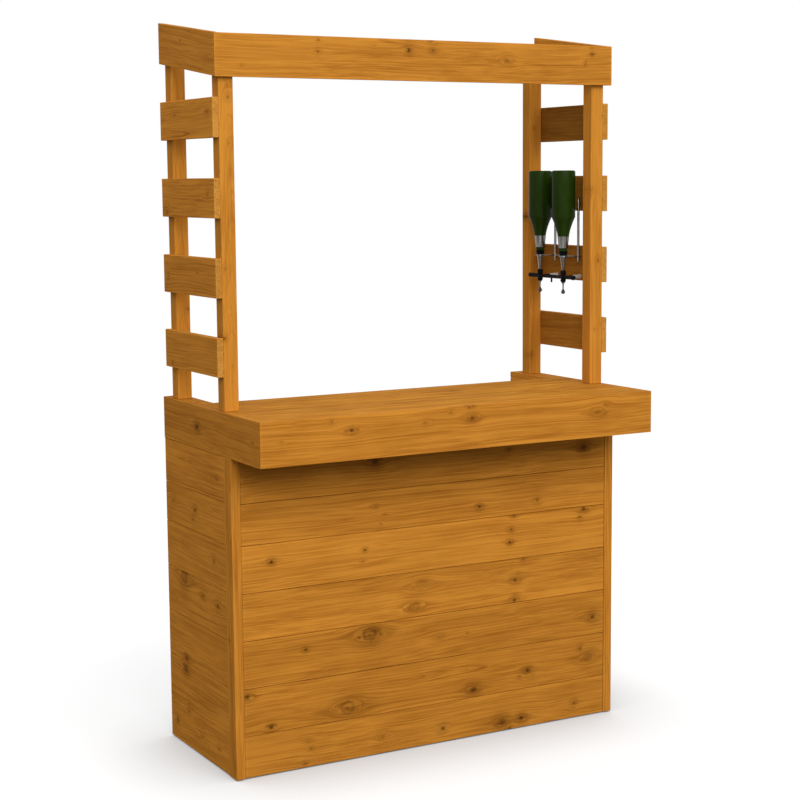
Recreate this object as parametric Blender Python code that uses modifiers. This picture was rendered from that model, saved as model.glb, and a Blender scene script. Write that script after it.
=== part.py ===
"""Outdoor garden bar: a boarded pine base, a serving counter, a slatted frame above it and a two-bottle optic.

Metres, +Z up. The origin is on the ground, in the middle of the bar's plan. -Y is the customers' side and +Y
the server's side, which is open under the counter.
"""

from math import cos, radians, sin

import bmesh
import bpy
from mathutils import Euler, Matrix, Vector

# Overall sizes
BASE_WIDTH = 1.300
BASE_DEPTH = 0.490
OVERHANG = 0.195
COUNTER_HEIGHT = 1.050

# Fits between pieces
SEAT = 0.0003
ARRIS = 0.0012

# Timber sections
BOARD = 0.018
FASCIA = 0.020
FASCIA_DEPTH = 0.125
STUD = 0.044
JOIST_DEPTH = 0.070
RAIL_DEPTH = 0.070

# Boarded base
TRIM_WIDTH = 0.050
BEAD_WIDTH = 0.009
BEAD_STEP = 0.001
SIDE_STEP = 0.002
FRONT_STEP = 0.004
COURSES = (0.124, 0.138, 0.139, 0.139, 0.139, 0.125)
GROOVE_WIDTH = 0.004
GROOVE_DEPTH = 0.0025

# Shelf
SHELF_HEIGHT = 0.450
SHELF_BOARDS = 13

# Counter
DECK_DEPTH = 0.458
DECK_BOARDS = 4
INNER_JOIST_OFFSET = 0.210

# Slatted frame, with heights above the counter
POST = 0.044
POST_INSET = 0.008
FRONT_POST_BACK = 0.051
REAR_POST_FRONT = 0.392
SLAT_DEPTH = 0.110
SLAT_PITCH = 0.220
SLATS = 4
LOWEST_SLAT = 0.097
HEADROOM = 0.921
TOP_BOARD_DEPTH = 0.117
TOP_RISE = 0.056
FRONT_POST_DROP = 0.008
REAR_POST_DROP = 0.030

# Two-bottle optic on the right-hand slats, with lengths that follow one another down from the bottle's base
OPTIC_STANDOFF = 0.066
OPTIC_FRONT = 0.168
OPTIC_PITCH = 0.130
LIP_RISE = 0.419
BOTTLE_RADIUS = 0.0372
BODY_LENGTH = 0.136
SHOULDER_LENGTH = 0.069
SHOULDER_CURVE = 1.5
NECK_LENGTH = 0.040
NECK_RADIUS = 0.0180
LIP_RADIUS = 0.0138
BASE_SOFTNESS = 0.005
BASE_HOLLOW = 0.003
GLASS = 0.0030
STOPPER_LENGTH = 0.022
STOPPER_CHAMFER = 0.0020
COLLAR_RADIUS = 0.0148
COLLAR_TAPER = 0.0010
COLLAR_LENGTH = 0.0217
WASHER_RADIUS = 0.0130
WASHER_LENGTH = 0.0060
CHAMBER_RADIUS = 0.0092
CHAMBER_TAPER = 0.0014
CHAMBER_LENGTH = 0.037
SOCKET_RADIUS = 0.0060
SOCKET_LENGTH = 0.038
TAP_RADIUS = 0.0026
TAP_CONE = 0.004
TAP_LENGTH = 0.0395
TAP_BULB = 0.0052
ROD_RADIUS = 0.0036
ROD_STANDOFF = 0.008
ROD_ABOVE_TIE = 0.1825
ROD_BELOW_TIE = 0.0185
ROD_FOOT_DROP = 0.016
ROD_FOOT_RADIUS = 0.0024
ARM_RADIUS = 0.0016
BAR_RADIUS = 0.0066
BAR_LENGTH = 0.254
BAR_DROP = 0.021
SLEEVE_RADIUS = 0.0088
SLEEVE_LENGTH = 0.034
SLEEVE_CLEARANCE = 0.0006
BAR_ARM_RADIUS = 0.0046
BAR_FOOT_TIP = 0.0052
BAR_FOOT_RADIUS = 0.0075
BAR_FOOT_LENGTH = 0.030
PEG_RADIUS = 0.0028
PEG_LENGTH = 0.019

# Meshing
SHARP = radians(40)
FLAT = radians(0.5)
MERGE = 0.00001
SHOULDER_STEPS = 8
CORNER_STEPS = 3
BULB_ANGLES = (30, 60, 90, 120, 150)
BOTTLE_STEPS = 32
MEASURE_STEPS = 24
ROD_SIDES = 16

# Places worked out from the sizes above, measured from the middle of the plan
FRONT = -(BASE_DEPTH + OVERHANG) / 2
BASE_FRONT = FRONT + OVERHANG
BACK = BASE_FRONT + BASE_DEPTH
HALF = BASE_WIDTH / 2
LINING = HALF - FASCIA
DECK_TOP = COUNTER_HEIGHT
DECK_UNDER = DECK_TOP - BOARD
FRAME_TOP = DECK_UNDER - JOIST_DEPTH
FASCIA_UNDER = COUNTER_HEIGHT - FASCIA_DEPTH
BOARDS_BACK = BASE_FRONT + FRONT_STEP + BOARD
DECK_BACK = FRONT + DECK_DEPTH
POST_OUT = HALF - POST_INSET
POST_FRONT_Y = BASE_FRONT + FRONT_POST_BACK
POST_BACK_Y = BASE_FRONT + REAR_POST_FRONT + POST
TOP_FRONT_Y = POST_FRONT_Y - BOARD
TOP_BOARD_LOW = COUNTER_HEIGHT + HEADROOM
SLOPE = TOP_RISE / (POST_BACK_Y - TOP_FRONT_Y)
LIP = COUNTER_HEIGHT + LIP_RISE
NECK_TOP = LIP + NECK_LENGTH
SHOULDER = NECK_TOP + SHOULDER_LENGTH
BOTTLE_BASE = SHOULDER + BODY_LENGTH
COLLAR_TOP = LIP - SEAT
COLLAR_BOTTOM = COLLAR_TOP - COLLAR_LENGTH
WASHER_BOTTOM = COLLAR_BOTTOM - WASHER_LENGTH
TIE_HEIGHT = COLLAR_BOTTOM - WASHER_LENGTH / 2
CHAMBER_BOTTOM = WASHER_BOTTOM - CHAMBER_LENGTH
SOCKET_BOTTOM = CHAMBER_BOTTOM - SOCKET_LENGTH
TAP_TIP = SOCKET_BOTTOM - TAP_LENGTH
BAR_HEIGHT = CHAMBER_BOTTOM - BAR_DROP
SLEEVE_TOP = CHAMBER_BOTTOM - SEAT

X = Vector((1, 0, 0))
Y = Vector((0, 1, 0))
Z = Vector((0, 0, 1))
SIDES = {"left": -1, "right": 1}


def clear_scene():
    """Removes what the scene holds."""
    for old in list(bpy.data.objects):
        bpy.data.objects.remove(old, do_unlink=True)


def new_collection(name, hidden=False):
    """A collection under the scene's own."""
    made = bpy.data.collections.new(name)
    bpy.context.scene.collection.children.link(made)
    made.hide_render = hidden
    return made


def new_material(name, colour, roughness, metallic=0.0):
    """A Principled BSDF material."""
    made = bpy.data.materials.new(name)
    made.use_nodes = True
    shader = made.node_tree.nodes["Principled BSDF"]
    shader.inputs["Base Color"].default_value = (*colour, 1.0)
    shader.inputs["Roughness"].default_value = roughness
    shader.inputs["Metallic"].default_value = metallic
    made.diffuse_color = (*colour, 1.0)
    return made


clear_scene()
BAR = new_collection("garden_bar")
CUTTERS = new_collection("garden_bar_cutters", hidden=True)
BOARDING = new_material("stained_boarding", (0.50, 0.22, 0.035), 0.55)
FRAMING = new_material("stained_framing", (0.55, 0.26, 0.05), 0.60)
GREEN_GLASS = new_material("green_glass", (0.02, 0.07, 0.01), 0.12)
CHROME = new_material("chrome", (0.75, 0.75, 0.76), 0.15, 1.0)
BLACK = new_material("black_plastic", (0.012, 0.012, 0.013), 0.35)


def new_object(name, data, material, collection=BAR):
    """An object with one material, linked to a collection."""
    made = bpy.data.objects.new(name, data)
    data.materials.clear()
    data.materials.append(material)
    collection.objects.link(made)
    return made


def ease_edges(piece, width=ARRIS):
    """A small arris along every sharp edge."""
    arris = piece.modifiers.new("arris", "BEVEL")
    arris.width = width
    arris.segments = 1
    arris.limit_method = "ANGLE"
    arris.angle_limit = SHARP


def box_mesh(name, size):
    """A box mesh centred on its own origin."""
    shape = bmesh.new()
    bmesh.ops.create_cube(shape, size=1.0)
    bmesh.ops.scale(shape, vec=size, verts=shape.verts)
    data = bpy.data.meshes.new(name)
    shape.to_mesh(data)
    shape.free()
    return data


def timber(name, x, y, z, material=FRAMING):
    """A squared length of timber between pairs of limits on X, Y and Z."""
    spans = (x, y, z)
    piece = new_object(name, box_mesh(name, [high - low for low, high in spans]), material)
    piece.location = [(low + high) / 2 for low, high in spans]
    ease_edges(piece)
    return piece


def rod_mesh(name, start_radius, end_radius, length):
    """A round rod mesh along Z, centred on its own origin."""
    shape = bmesh.new()
    bmesh.ops.create_cone(
        shape,
        cap_ends=True,
        cap_tris=False,
        segments=ROD_SIDES,
        radius1=start_radius,
        radius2=end_radius,
        depth=length,
    )
    data = bpy.data.meshes.new(name)
    shape.to_mesh(data)
    shape.free()
    data.shade_smooth()
    data.set_sharp_from_angle(angle=SHARP)
    return data


def rod(name, start, end, radius, material, collection=BAR, end_radius=None):
    """A round rod from one point to another, tapered where the radius of its end is given."""
    start = Vector(start)
    end = Vector(end)
    data = rod_mesh(name, radius, end_radius or radius, (end - start).length)
    piece = new_object(name, data, material, collection)
    piece.location = (start + end) / 2
    piece.rotation_euler = (end - start).to_track_quat("Z", "Y").to_euler()
    return piece


def facing(across, outward):
    """The rotation that lays an outline's own x along one direction and its y along another."""
    columns = (across, outward, across.cross(outward))
    return Matrix(columns).transposed().to_euler()


def outline_piece(name, points, thickness, rotation, location, material):
    """A flat outline as a filled curve, given its thickness and made a mesh with closed caps."""
    curve = bpy.data.curves.new(name + "_outline", "CURVE")
    curve.dimensions = "2D"
    curve.fill_mode = "BOTH"
    curve.extrude = thickness / 2
    spline = curve.splines.new("POLY")
    spline.points.add(len(points) - 1)
    for point, place in zip(spline.points, points):
        point.co = (*place, 0.0, 1.0)
    spline.use_cyclic_u = True
    guide = bpy.data.objects.new(name + "_outline", curve)
    CUTTERS.objects.link(guide)
    bpy.context.view_layer.update()
    evaluated = guide.evaluated_get(bpy.context.evaluated_depsgraph_get())
    data = bpy.data.meshes.new_from_object(evaluated)
    data.name = name
    bpy.data.objects.remove(guide, do_unlink=True)
    bpy.data.curves.remove(curve)
    shape = bmesh.new()
    shape.from_mesh(data)
    bmesh.ops.remove_doubles(shape, verts=shape.verts, dist=MERGE)
    bmesh.ops.dissolve_limit(shape, angle_limit=FLAT, verts=shape.verts, edges=shape.edges)
    bmesh.ops.recalc_face_normals(shape, faces=shape.faces)
    shape.to_mesh(data)
    shape.free()
    piece = new_object(name, data, material)
    piece.rotation_euler = rotation
    piece.location = location
    return piece


def boarded_outline(joints, width, thickness=BOARD):
    """The section of a row of boards, with a V groove in its face at each joint. The face is at zero."""
    points = [(0.0, -thickness), (0.0, 0.0)]
    for joint in joints:
        points.append((joint - GROOVE_WIDTH / 2, 0.0))
        points.append((joint, -GROOVE_DEPTH))
        points.append((joint + GROOVE_WIDTH / 2, 0.0))
    points.append((width, 0.0))
    points.append((width, -thickness))
    return points


def course_joints(height):
    """The heights of the joints between the courses, up to a height."""
    joints = []
    level = 0.0
    for course in COURSES:
        level += course
        if level < height - GROOVE_WIDTH:
            joints.append(level)
    return joints


def even_joints(width, count):
    """The joints between boards of one width."""
    return [width * step / count for step in range(1, count)]


def mirrored(points, side):
    """An outline in plan, for the left (-1) or right (1) side, with its points kept in turning order."""
    if side > 0:
        return points
    return [(-x, y) for x, y in reversed(points)]


def turned(name, profile, place, material, steps):
    """A shape turned about Z from a profile of radius and height, run from its top down."""
    shape = bmesh.new()
    ring = [shape.verts.new((radius, 0.0, height)) for radius, height in profile]
    for upper, lower in zip(ring, ring[1:]):
        shape.edges.new((upper, lower))
    data = bpy.data.meshes.new(name)
    shape.to_mesh(data)
    shape.free()
    piece = new_object(name, data, material)
    piece.location = place
    screw = piece.modifiers.new("turning", "SCREW")
    screw.steps = steps
    screw.render_steps = steps
    screw.use_merge_vertices = True
    screw.merge_threshold = MERGE
    screw.use_smooth_shade = True
    return piece


def combine(piece, operation, others):
    """Joins other shapes to a piece (UNION) or cuts them out of it (DIFFERENCE)."""
    for other in others:
        step = piece.modifiers.new(operation.lower(), "BOOLEAN")
        step.operation = operation
        step.solver = "EXACT"
        step.object = other
        other.hide_render = True
        other.display_type = "WIRE"


# Base frame
def base_frame():
    """Corner studs, a front and a back sill, a top rail and the shelf's two rails."""
    inner_x = LINING - SEAT
    front_y = BOARDS_BACK + SEAT
    stud_top = FRAME_TOP - SEAT
    for side_name, side in SIDES.items():
        x = sorted((side * inner_x, side * (inner_x - STUD)))
        timber(f"base_stud_front_{side_name}", x, (front_y, front_y + STUD), (0.0, stud_top))
        timber(f"base_stud_back_{side_name}", x, (BACK - STUD, BACK), (0.0, stud_top))
    clear_x = inner_x - STUD - SEAT
    span = (-clear_x, clear_x)
    timber("front_sill", span, (front_y, front_y + STUD), (0.0, STUD))
    timber("back_sill", span, (BACK - STUD, BACK), (0.0, STUD))
    timber("front_top_rail", span, (front_y, front_y + STUD), (stud_top - RAIL_DEPTH, stud_top))
    rail_z = (SHELF_HEIGHT - BOARD - SEAT - RAIL_DEPTH, SHELF_HEIGHT - BOARD - SEAT)
    timber("shelf_rail_front", span, (front_y, front_y + FASCIA), rail_z)
    timber("shelf_rail_back", span, (BACK - STUD, BACK - STUD + FASCIA), rail_z)


# Boarding of the base
def boarding():
    """The boards of the front and the sides, and the corner trims."""
    front_top = FRAME_TOP - SEAT
    side_top = FASCIA_UNDER - SEAT
    front_half = LINING - BEAD_WIDTH - SEAT
    outline_piece(
        "front_panel",
        boarded_outline(course_joints(front_top), front_top),
        2 * front_half,
        facing(Z, -Y),
        (0.0, BASE_FRONT + FRONT_STEP, 0.0),
        BOARDING,
    )
    side_front = BASE_FRONT + TRIM_WIDTH + SEAT
    for side_name, side in SIDES.items():
        outline_piece(
            f"{side_name}_side_panel",
            boarded_outline(course_joints(side_top), side_top),
            BACK - side_front,
            facing(Z, side * X),
            (side * (HALF - SIDE_STEP), (side_front + BACK) / 2, 0.0),
            BOARDING,
        )
        corner_trim(side_name, side, side_top)


def corner_trim(side_name, side, height):
    """The upright that covers a front corner, with a narrow bead beside the front boards."""
    bead_front = BASE_FRONT + BEAD_STEP
    bead_back = BOARDS_BACK
    plan = [
        (HALF, BASE_FRONT),
        (HALF, BASE_FRONT + TRIM_WIDTH),
        (LINING, BASE_FRONT + TRIM_WIDTH),
        (LINING, bead_back),
        (LINING - BEAD_WIDTH, bead_back),
        (LINING - BEAD_WIDTH, bead_front),
        (LINING, bead_front),
        (LINING, BASE_FRONT),
    ]
    outline_piece(
        f"corner_trim_{side_name}",
        mirrored(plan, side),
        height,
        Euler(),
        (0.0, 0.0, height / 2),
        BOARDING,
    )


# Shelf on the server's side
def shelf():
    """Boards laid front to back on two rails, notched round the corner studs."""
    low_y = BOARDS_BACK + SEAT
    half_x = LINING - SEAT
    width = 2 * half_x
    piece = outline_piece(
        "shelf",
        boarded_outline(even_joints(width, SHELF_BOARDS), width),
        BACK - low_y,
        facing(X, Z),
        (-half_x, (low_y + BACK) / 2, SHELF_HEIGHT),
        FRAMING,
    )
    notch = 2 * (STUD + SEAT)
    for side_name, side in SIDES.items():
        for end_name, end_y in (("front", low_y), ("back", BACK)):
            cut_notch(piece, f"shelf_notch_{end_name}_{side_name}", (side * half_x, end_y), notch)


def cut_notch(piece, name, corner, size):
    """Cuts a square notch out of a corner of the shelf."""
    cutter = new_object(name, box_mesh(name, (size, size, 4 * BOARD)), FRAMING, CUTTERS)
    cutter.location = (*corner, SHELF_HEIGHT)
    combine(piece, "DIFFERENCE", [cutter])


# Counter
def counter():
    """Joists, the rear rail, the deck, an arm of deck on each side, and the mitred fascias."""
    joist_z = (FRAME_TOP, DECK_UNDER - SEAT)
    inner_front = FRONT + FASCIA + SEAT
    rear_rail_front = DECK_BACK - FASCIA
    for side_name, side in SIDES.items():
        outer = LINING - SEAT
        x = sorted((side * outer, side * (outer - STUD)))
        timber(f"counter_side_joist_{side_name}", x, (inner_front, BACK), joist_z)
        x = sorted((side * INNER_JOIST_OFFSET, side * (INNER_JOIST_OFFSET + STUD)))
        timber(f"counter_joist_{side_name}", x, (inner_front, rear_rail_front - SEAT), joist_z)
        side_arm(side_name, side)
        side_fascia(side_name, side)
    clear_x = LINING - SEAT - STUD - SEAT
    timber("counter_rear_rail", (-clear_x, clear_x), (rear_rail_front, DECK_BACK), joist_z)
    front_fascia()
    deck_front = FRONT + FASCIA + SEAT
    width = DECK_BACK - deck_front
    outline_piece(
        "counter_deck",
        boarded_outline(even_joints(width, DECK_BOARDS), width),
        2 * (LINING - SEAT),
        facing(Y, Z),
        (0.0, deck_front, DECK_TOP),
        BOARDING,
    )


def side_arm(side_name, side):
    """The strip of counter beside the server, which carries the rear post."""
    outer = LINING - SEAT
    x = sorted((side * outer, side * (outer - STUD)))
    timber(f"counter_arm_{side_name}", x, (DECK_BACK + SEAT, BACK), (DECK_UNDER, DECK_TOP), BOARDING)


def front_fascia():
    """The deep front board of the counter, mitred at both ends."""
    mitre = SEAT
    plan = [
        (-HALF + mitre, FRONT),
        (HALF - mitre, FRONT),
        (LINING - mitre, FRONT + FASCIA),
        (-LINING + mitre, FRONT + FASCIA),
    ]
    piece = outline_piece(
        "counter_fascia_front",
        plan,
        FASCIA_DEPTH,
        Euler(),
        (0.0, 0.0, COUNTER_HEIGHT - FASCIA_DEPTH / 2),
        BOARDING,
    )
    ease_edges(piece)


def side_fascia(side_name, side):
    """A side board of the counter, mitred at its front end."""
    plan = [(HALF, FRONT), (HALF, BACK), (LINING, BACK), (LINING, FRONT + FASCIA)]
    piece = outline_piece(
        f"counter_fascia_{side_name}",
        mirrored(plan, side),
        FASCIA_DEPTH,
        Euler(),
        (0.0, 0.0, COUNTER_HEIGHT - FASCIA_DEPTH / 2),
        BOARDING,
    )
    ease_edges(piece)


# Slatted frame above the counter
def top_line(y, drop=0.0):
    """The height of the side boards' upper edge at a distance along Y."""
    return TOP_BOARD_LOW + TOP_BOARD_DEPTH + SLOPE * (y - TOP_FRONT_Y) - drop


def frame_post(name, side, front_y, drop):
    """An upright with its head cut to the slope of the side boards, a drop below their upper edge."""
    foot = DECK_TOP + SEAT
    outline = [
        (front_y, foot),
        (front_y + POST, foot),
        (front_y + POST, top_line(front_y + POST, drop)),
        (front_y, top_line(front_y, drop)),
    ]
    piece = outline_piece(
        name, outline, POST, facing(Y, Z), (side * (POST_OUT - POST / 2), 0.0, 0.0), FRAMING
    )
    ease_edges(piece)


def top_side_board(side_name, side):
    """A side board that climbs towards the server, with plumb ends and a mitre at the front."""
    inner = POST_OUT + SEAT
    outer = inner + BOARD
    plan = [
        (outer, TOP_FRONT_Y),
        (outer, POST_BACK_Y),
        (inner, POST_BACK_Y),
        (inner, TOP_FRONT_Y + BOARD),
    ]
    piece = outline_piece(
        f"top_board_{side_name}",
        mirrored(plan, side),
        TOP_BOARD_DEPTH,
        Euler(),
        (0.0, TOP_FRONT_Y, TOP_BOARD_LOW + TOP_BOARD_DEPTH / 2),
        BOARDING,
    )
    climb = Matrix.Translation((0.0, -TOP_FRONT_Y, -SLOPE * TOP_FRONT_Y))
    climb[2][1] = SLOPE
    piece.data.transform(climb)
    ease_edges(piece)


def top_front_board():
    """The level front board of the top frame, mitred at both ends."""
    inner = POST_OUT + SEAT
    outer = inner + BOARD
    mitre = SEAT
    plan = [
        (-outer + mitre, TOP_FRONT_Y),
        (outer - mitre, TOP_FRONT_Y),
        (inner - mitre, TOP_FRONT_Y + BOARD - SEAT),
        (-inner + mitre, TOP_FRONT_Y + BOARD - SEAT),
    ]
    piece = outline_piece(
        "top_board_front",
        plan,
        TOP_BOARD_DEPTH,
        Euler(),
        (0.0, 0.0, TOP_BOARD_LOW + TOP_BOARD_DEPTH / 2),
        BOARDING,
    )
    ease_edges(piece)


def slatted_frame():
    """Four posts, the slats of both sides, and the top boards."""
    rear_front_y = BASE_FRONT + REAR_POST_FRONT
    y = (POST_FRONT_Y, POST_BACK_Y)
    for side_name, side in SIDES.items():
        frame_post(f"post_front_{side_name}", side, POST_FRONT_Y, FRONT_POST_DROP)
        frame_post(f"post_rear_{side_name}", side, rear_front_y, REAR_POST_DROP)
        x = sorted((side * (POST_OUT + SEAT), side * (POST_OUT + SEAT + BOARD)))
        for number in range(SLATS):
            low = COUNTER_HEIGHT + LOWEST_SLAT + number * SLAT_PITCH
            timber(f"slat_{side_name}_{number + 1}", x, y, (low, low + SLAT_DEPTH), BOARDING)
        top_side_board(side_name, side)
    top_front_board()


# Two-bottle optic fixed to the right-hand slats
def bottle_profile():
    """An upturned bottle from the middle of its base, down the outside, round the lip and up the inside."""
    corner = [(0.0, BOTTLE_BASE - BASE_HOLLOW)]
    for step in range(CORNER_STEPS + 1):
        turn = radians(90 * step / CORNER_STEPS)
        radius = BOTTLE_RADIUS - BASE_SOFTNESS * (1 - sin(turn))
        corner.append((radius, BOTTLE_BASE - BASE_SOFTNESS * (1 - cos(turn))))
    side = []
    for step in range(SHOULDER_STEPS + 1):
        along = step / SHOULDER_STEPS
        fullness = (1 - along) ** SHOULDER_CURVE
        radius = NECK_RADIUS + (BOTTLE_RADIUS - NECK_RADIUS) * fullness
        side.append((radius, SHOULDER - SHOULDER_LENGTH * along))
    side.append((LIP_RADIUS, LIP))
    inside = [(radius - GLASS, height) for radius, height in reversed(side)]
    inside_base = BOTTLE_BASE - BASE_SOFTNESS - GLASS
    inside.append((BOTTLE_RADIUS - GLASS, inside_base))
    inside.append((0.0, inside_base))
    return corner + side + inside


def measure_profile():
    """A measure from its stopper in the neck down to the tap's bulb."""
    stopper = LIP_RADIUS - GLASS - 2 * SEAT
    stopper_top = LIP + STOPPER_LENGTH
    profile = [
        (0.0, stopper_top),
        (stopper - STOPPER_CHAMFER, stopper_top),
        (stopper, stopper_top - STOPPER_CHAMFER),
        (stopper, COLLAR_TOP),
        (COLLAR_RADIUS, COLLAR_TOP),
        (COLLAR_RADIUS - COLLAR_TAPER, COLLAR_BOTTOM),
        (WASHER_RADIUS, COLLAR_BOTTOM),
        (WASHER_RADIUS, WASHER_BOTTOM),
        (CHAMBER_RADIUS, WASHER_BOTTOM),
        (CHAMBER_RADIUS - CHAMBER_TAPER, CHAMBER_BOTTOM),
        (SOCKET_RADIUS, CHAMBER_BOTTOM),
        (SOCKET_RADIUS, SOCKET_BOTTOM),
        (TAP_RADIUS, SOCKET_BOTTOM - TAP_CONE),
    ]
    bulb_middle = TAP_TIP + TAP_BULB
    for angle in BULB_ANGLES:
        turn = radians(angle)
        profile.append((TAP_BULB * sin(turn), bulb_middle + TAP_BULB * cos(turn)))
    profile.append((0.0, TAP_TIP))
    return profile


def optic():
    """The rack, bar, bottles and measures on the inner face of the right-hand slats."""
    centre_x = POST_OUT - OPTIC_STANDOFF
    front_y = BASE_FRONT + OPTIC_FRONT
    places = {"front": front_y, "rear": front_y + OPTIC_PITCH}
    for place_name, y in places.items():
        place = (centre_x, y, 0.0)
        turned(f"bottle_{place_name}", bottle_profile(), place, GREEN_GLASS, BOTTLE_STEPS)
        turned(f"measure_{place_name}", measure_profile(), place, CHROME, MEASURE_STEPS)
    optic_rack(centre_x, places)
    optic_bar(centre_x, places)


def optic_rack(centre_x, places):
    """Two upright rods held off the slats on feet, tied by a thin rod and reaching out to the washers."""
    rod_x = POST_OUT - ROD_STANDOFF
    washer_face = centre_x + WASHER_RADIUS + SEAT
    low = TIE_HEIGHT - ROD_BELOW_TIE
    high = TIE_HEIGHT + ROD_ABOVE_TIE
    front_y, rear_y = places.values()
    rack = rod("optic_rack", (rod_x, front_y, low), (rod_x, front_y, high), ROD_RADIUS, CHROME)
    tie = ((rod_x, front_y, TIE_HEIGHT), (rod_x, rear_y, TIE_HEIGHT))
    others = [
        rod("rack_rod", (rod_x, rear_y, low), (rod_x, rear_y, high), ROD_RADIUS, CHROME, CUTTERS),
        rod("rack_tie", *tie, ARM_RADIUS, CHROME, CUTTERS),
    ]
    for y in places.values():
        arm = ((rod_x, y, TIE_HEIGHT), (washer_face, y, TIE_HEIGHT))
        others.append(rod("rack_arm", *arm, ARM_RADIUS, CHROME, CUTTERS))
        for height in (TIE_HEIGHT, high - ROD_FOOT_DROP):
            foot = ((rod_x, y, height), (POST_OUT, y, height))
            others.append(rod("rack_foot", *foot, ROD_FOOT_RADIUS, CHROME, CUTTERS))
    combine(rack, "UNION", others)


def optic_bar(centre_x, places):
    """The black bar: a sleeve round each socket, an arm with a foot on the slat behind it, and a peg."""
    middle_y = sum(places.values()) / 2
    start = (centre_x, middle_y - BAR_LENGTH / 2, BAR_HEIGHT)
    end = (centre_x, middle_y + BAR_LENGTH / 2, BAR_HEIGHT)
    bar = rod("optic_bar", start, end, BAR_RADIUS, BLACK)
    peg = ((centre_x, middle_y, BAR_HEIGHT), (centre_x, middle_y, BAR_HEIGHT - PEG_LENGTH))
    others = [rod("bar_peg", *peg, PEG_RADIUS, BLACK, CUTTERS)]
    bores = []
    foot_x = POST_OUT - BAR_FOOT_LENGTH
    for y in places.values():
        sleeve = ((centre_x, y, SLEEVE_TOP), (centre_x, y, SLEEVE_TOP - SLEEVE_LENGTH))
        others.append(rod("bar_sleeve", *sleeve, SLEEVE_RADIUS, BLACK, CUTTERS))
        arm = ((centre_x, y, BAR_HEIGHT), (foot_x + BAR_ARM_RADIUS, y, BAR_HEIGHT))
        others.append(rod("bar_arm", *arm, BAR_ARM_RADIUS, BLACK, CUTTERS))
        foot = ((foot_x, y, BAR_HEIGHT), (POST_OUT, y, BAR_HEIGHT))
        others.append(rod("bar_foot", *foot, BAR_FOOT_TIP, BLACK, CUTTERS, BAR_FOOT_RADIUS))
        bore = ((centre_x, y, CHAMBER_BOTTOM), (centre_x, y, CHAMBER_BOTTOM - 2 * SLEEVE_LENGTH))
        bores.append(rod("bar_bore", *bore, SOCKET_RADIUS + SLEEVE_CLEARANCE, BLACK, CUTTERS))
    combine(bar, "UNION", others)
    combine(bar, "DIFFERENCE", bores)


base_frame()
boarding()
shelf()
counter()
slatted_frame()
optic()
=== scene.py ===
"""Outdoor garden bar, dressed: every board and timber of the bar, and the fittings of its optic.

Metres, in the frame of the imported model: +Z up, -Y towards the customers, +Y towards the server.
"""

import logging
import math
import random
from dataclasses import dataclass
from enum import Enum
from typing import Iterable, Sequence, Union

import bmesh
import bpy
from mathutils import Matrix, Vector


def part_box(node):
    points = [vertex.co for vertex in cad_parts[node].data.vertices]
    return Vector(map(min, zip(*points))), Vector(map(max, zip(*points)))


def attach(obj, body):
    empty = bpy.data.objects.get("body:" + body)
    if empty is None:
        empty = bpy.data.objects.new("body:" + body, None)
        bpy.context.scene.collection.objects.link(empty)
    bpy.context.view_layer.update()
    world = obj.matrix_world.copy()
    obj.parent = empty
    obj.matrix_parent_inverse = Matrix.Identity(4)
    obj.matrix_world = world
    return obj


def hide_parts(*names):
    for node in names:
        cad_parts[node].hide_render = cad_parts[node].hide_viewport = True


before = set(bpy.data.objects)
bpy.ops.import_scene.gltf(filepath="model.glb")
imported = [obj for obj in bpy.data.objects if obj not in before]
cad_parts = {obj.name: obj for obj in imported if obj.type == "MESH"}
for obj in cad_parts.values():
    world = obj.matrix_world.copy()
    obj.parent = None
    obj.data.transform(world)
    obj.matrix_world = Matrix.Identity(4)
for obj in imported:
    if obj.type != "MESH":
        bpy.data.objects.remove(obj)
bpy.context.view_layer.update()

LOG = logging.getLogger("garden_bar")
BODY = "root"
KNOT_LAYERS = ("knot_1", "knot_2", "knot_3", "knot_4")
NO_KNOT = (90.0, 90.0, 0.004, 0.0)
WHITE = (1.0, 1.0, 1.0)
X = Vector((1, 0, 0))
Y = Vector((0, 1, 0))
Z = Vector((0, 0, 1))
FRONT_MITRES = ((-1, -1), (1, -1))

Colour = tuple[float, float, float]
Triple = tuple[float, float, float]
Pair = tuple[float, float]
Profile = Sequence[Pair]
Shape = bmesh.types.BMesh
Material = bpy.types.Material
Number = Union["Wire", float]
Mixture = Union[Material, bpy.types.World]


class Side(Enum):
    """The bar's two sides, as a customer sees them."""

    LEFT = -1
    RIGHT = 1

    @property
    def word(self) -> str:
        """The side's name in lower case."""
        return self.name.lower()

    @property
    def face(self) -> Vector:
        """The side's outward direction."""
        return self.value * X

    @property
    def along(self) -> Vector:
        """The direction of its boards, which are drawn face upwards."""
        return Z.cross(self.face)

    @property
    def mitre(self) -> Sequence[Pair]:
        """The cut at the front end of its boards."""
        return ((-self.along.y, -1),)


class Section(Enum):
    """How the long edges of a board are worked."""

    EASED = "eased"
    TONGUED = "tongued"


class Growth(Enum):
    """How dark a knot stands in the wood, from 0 to 1."""

    FAINT = 0.27
    SOFT = 0.46
    BROWN = 0.64
    DARK = 0.88


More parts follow.
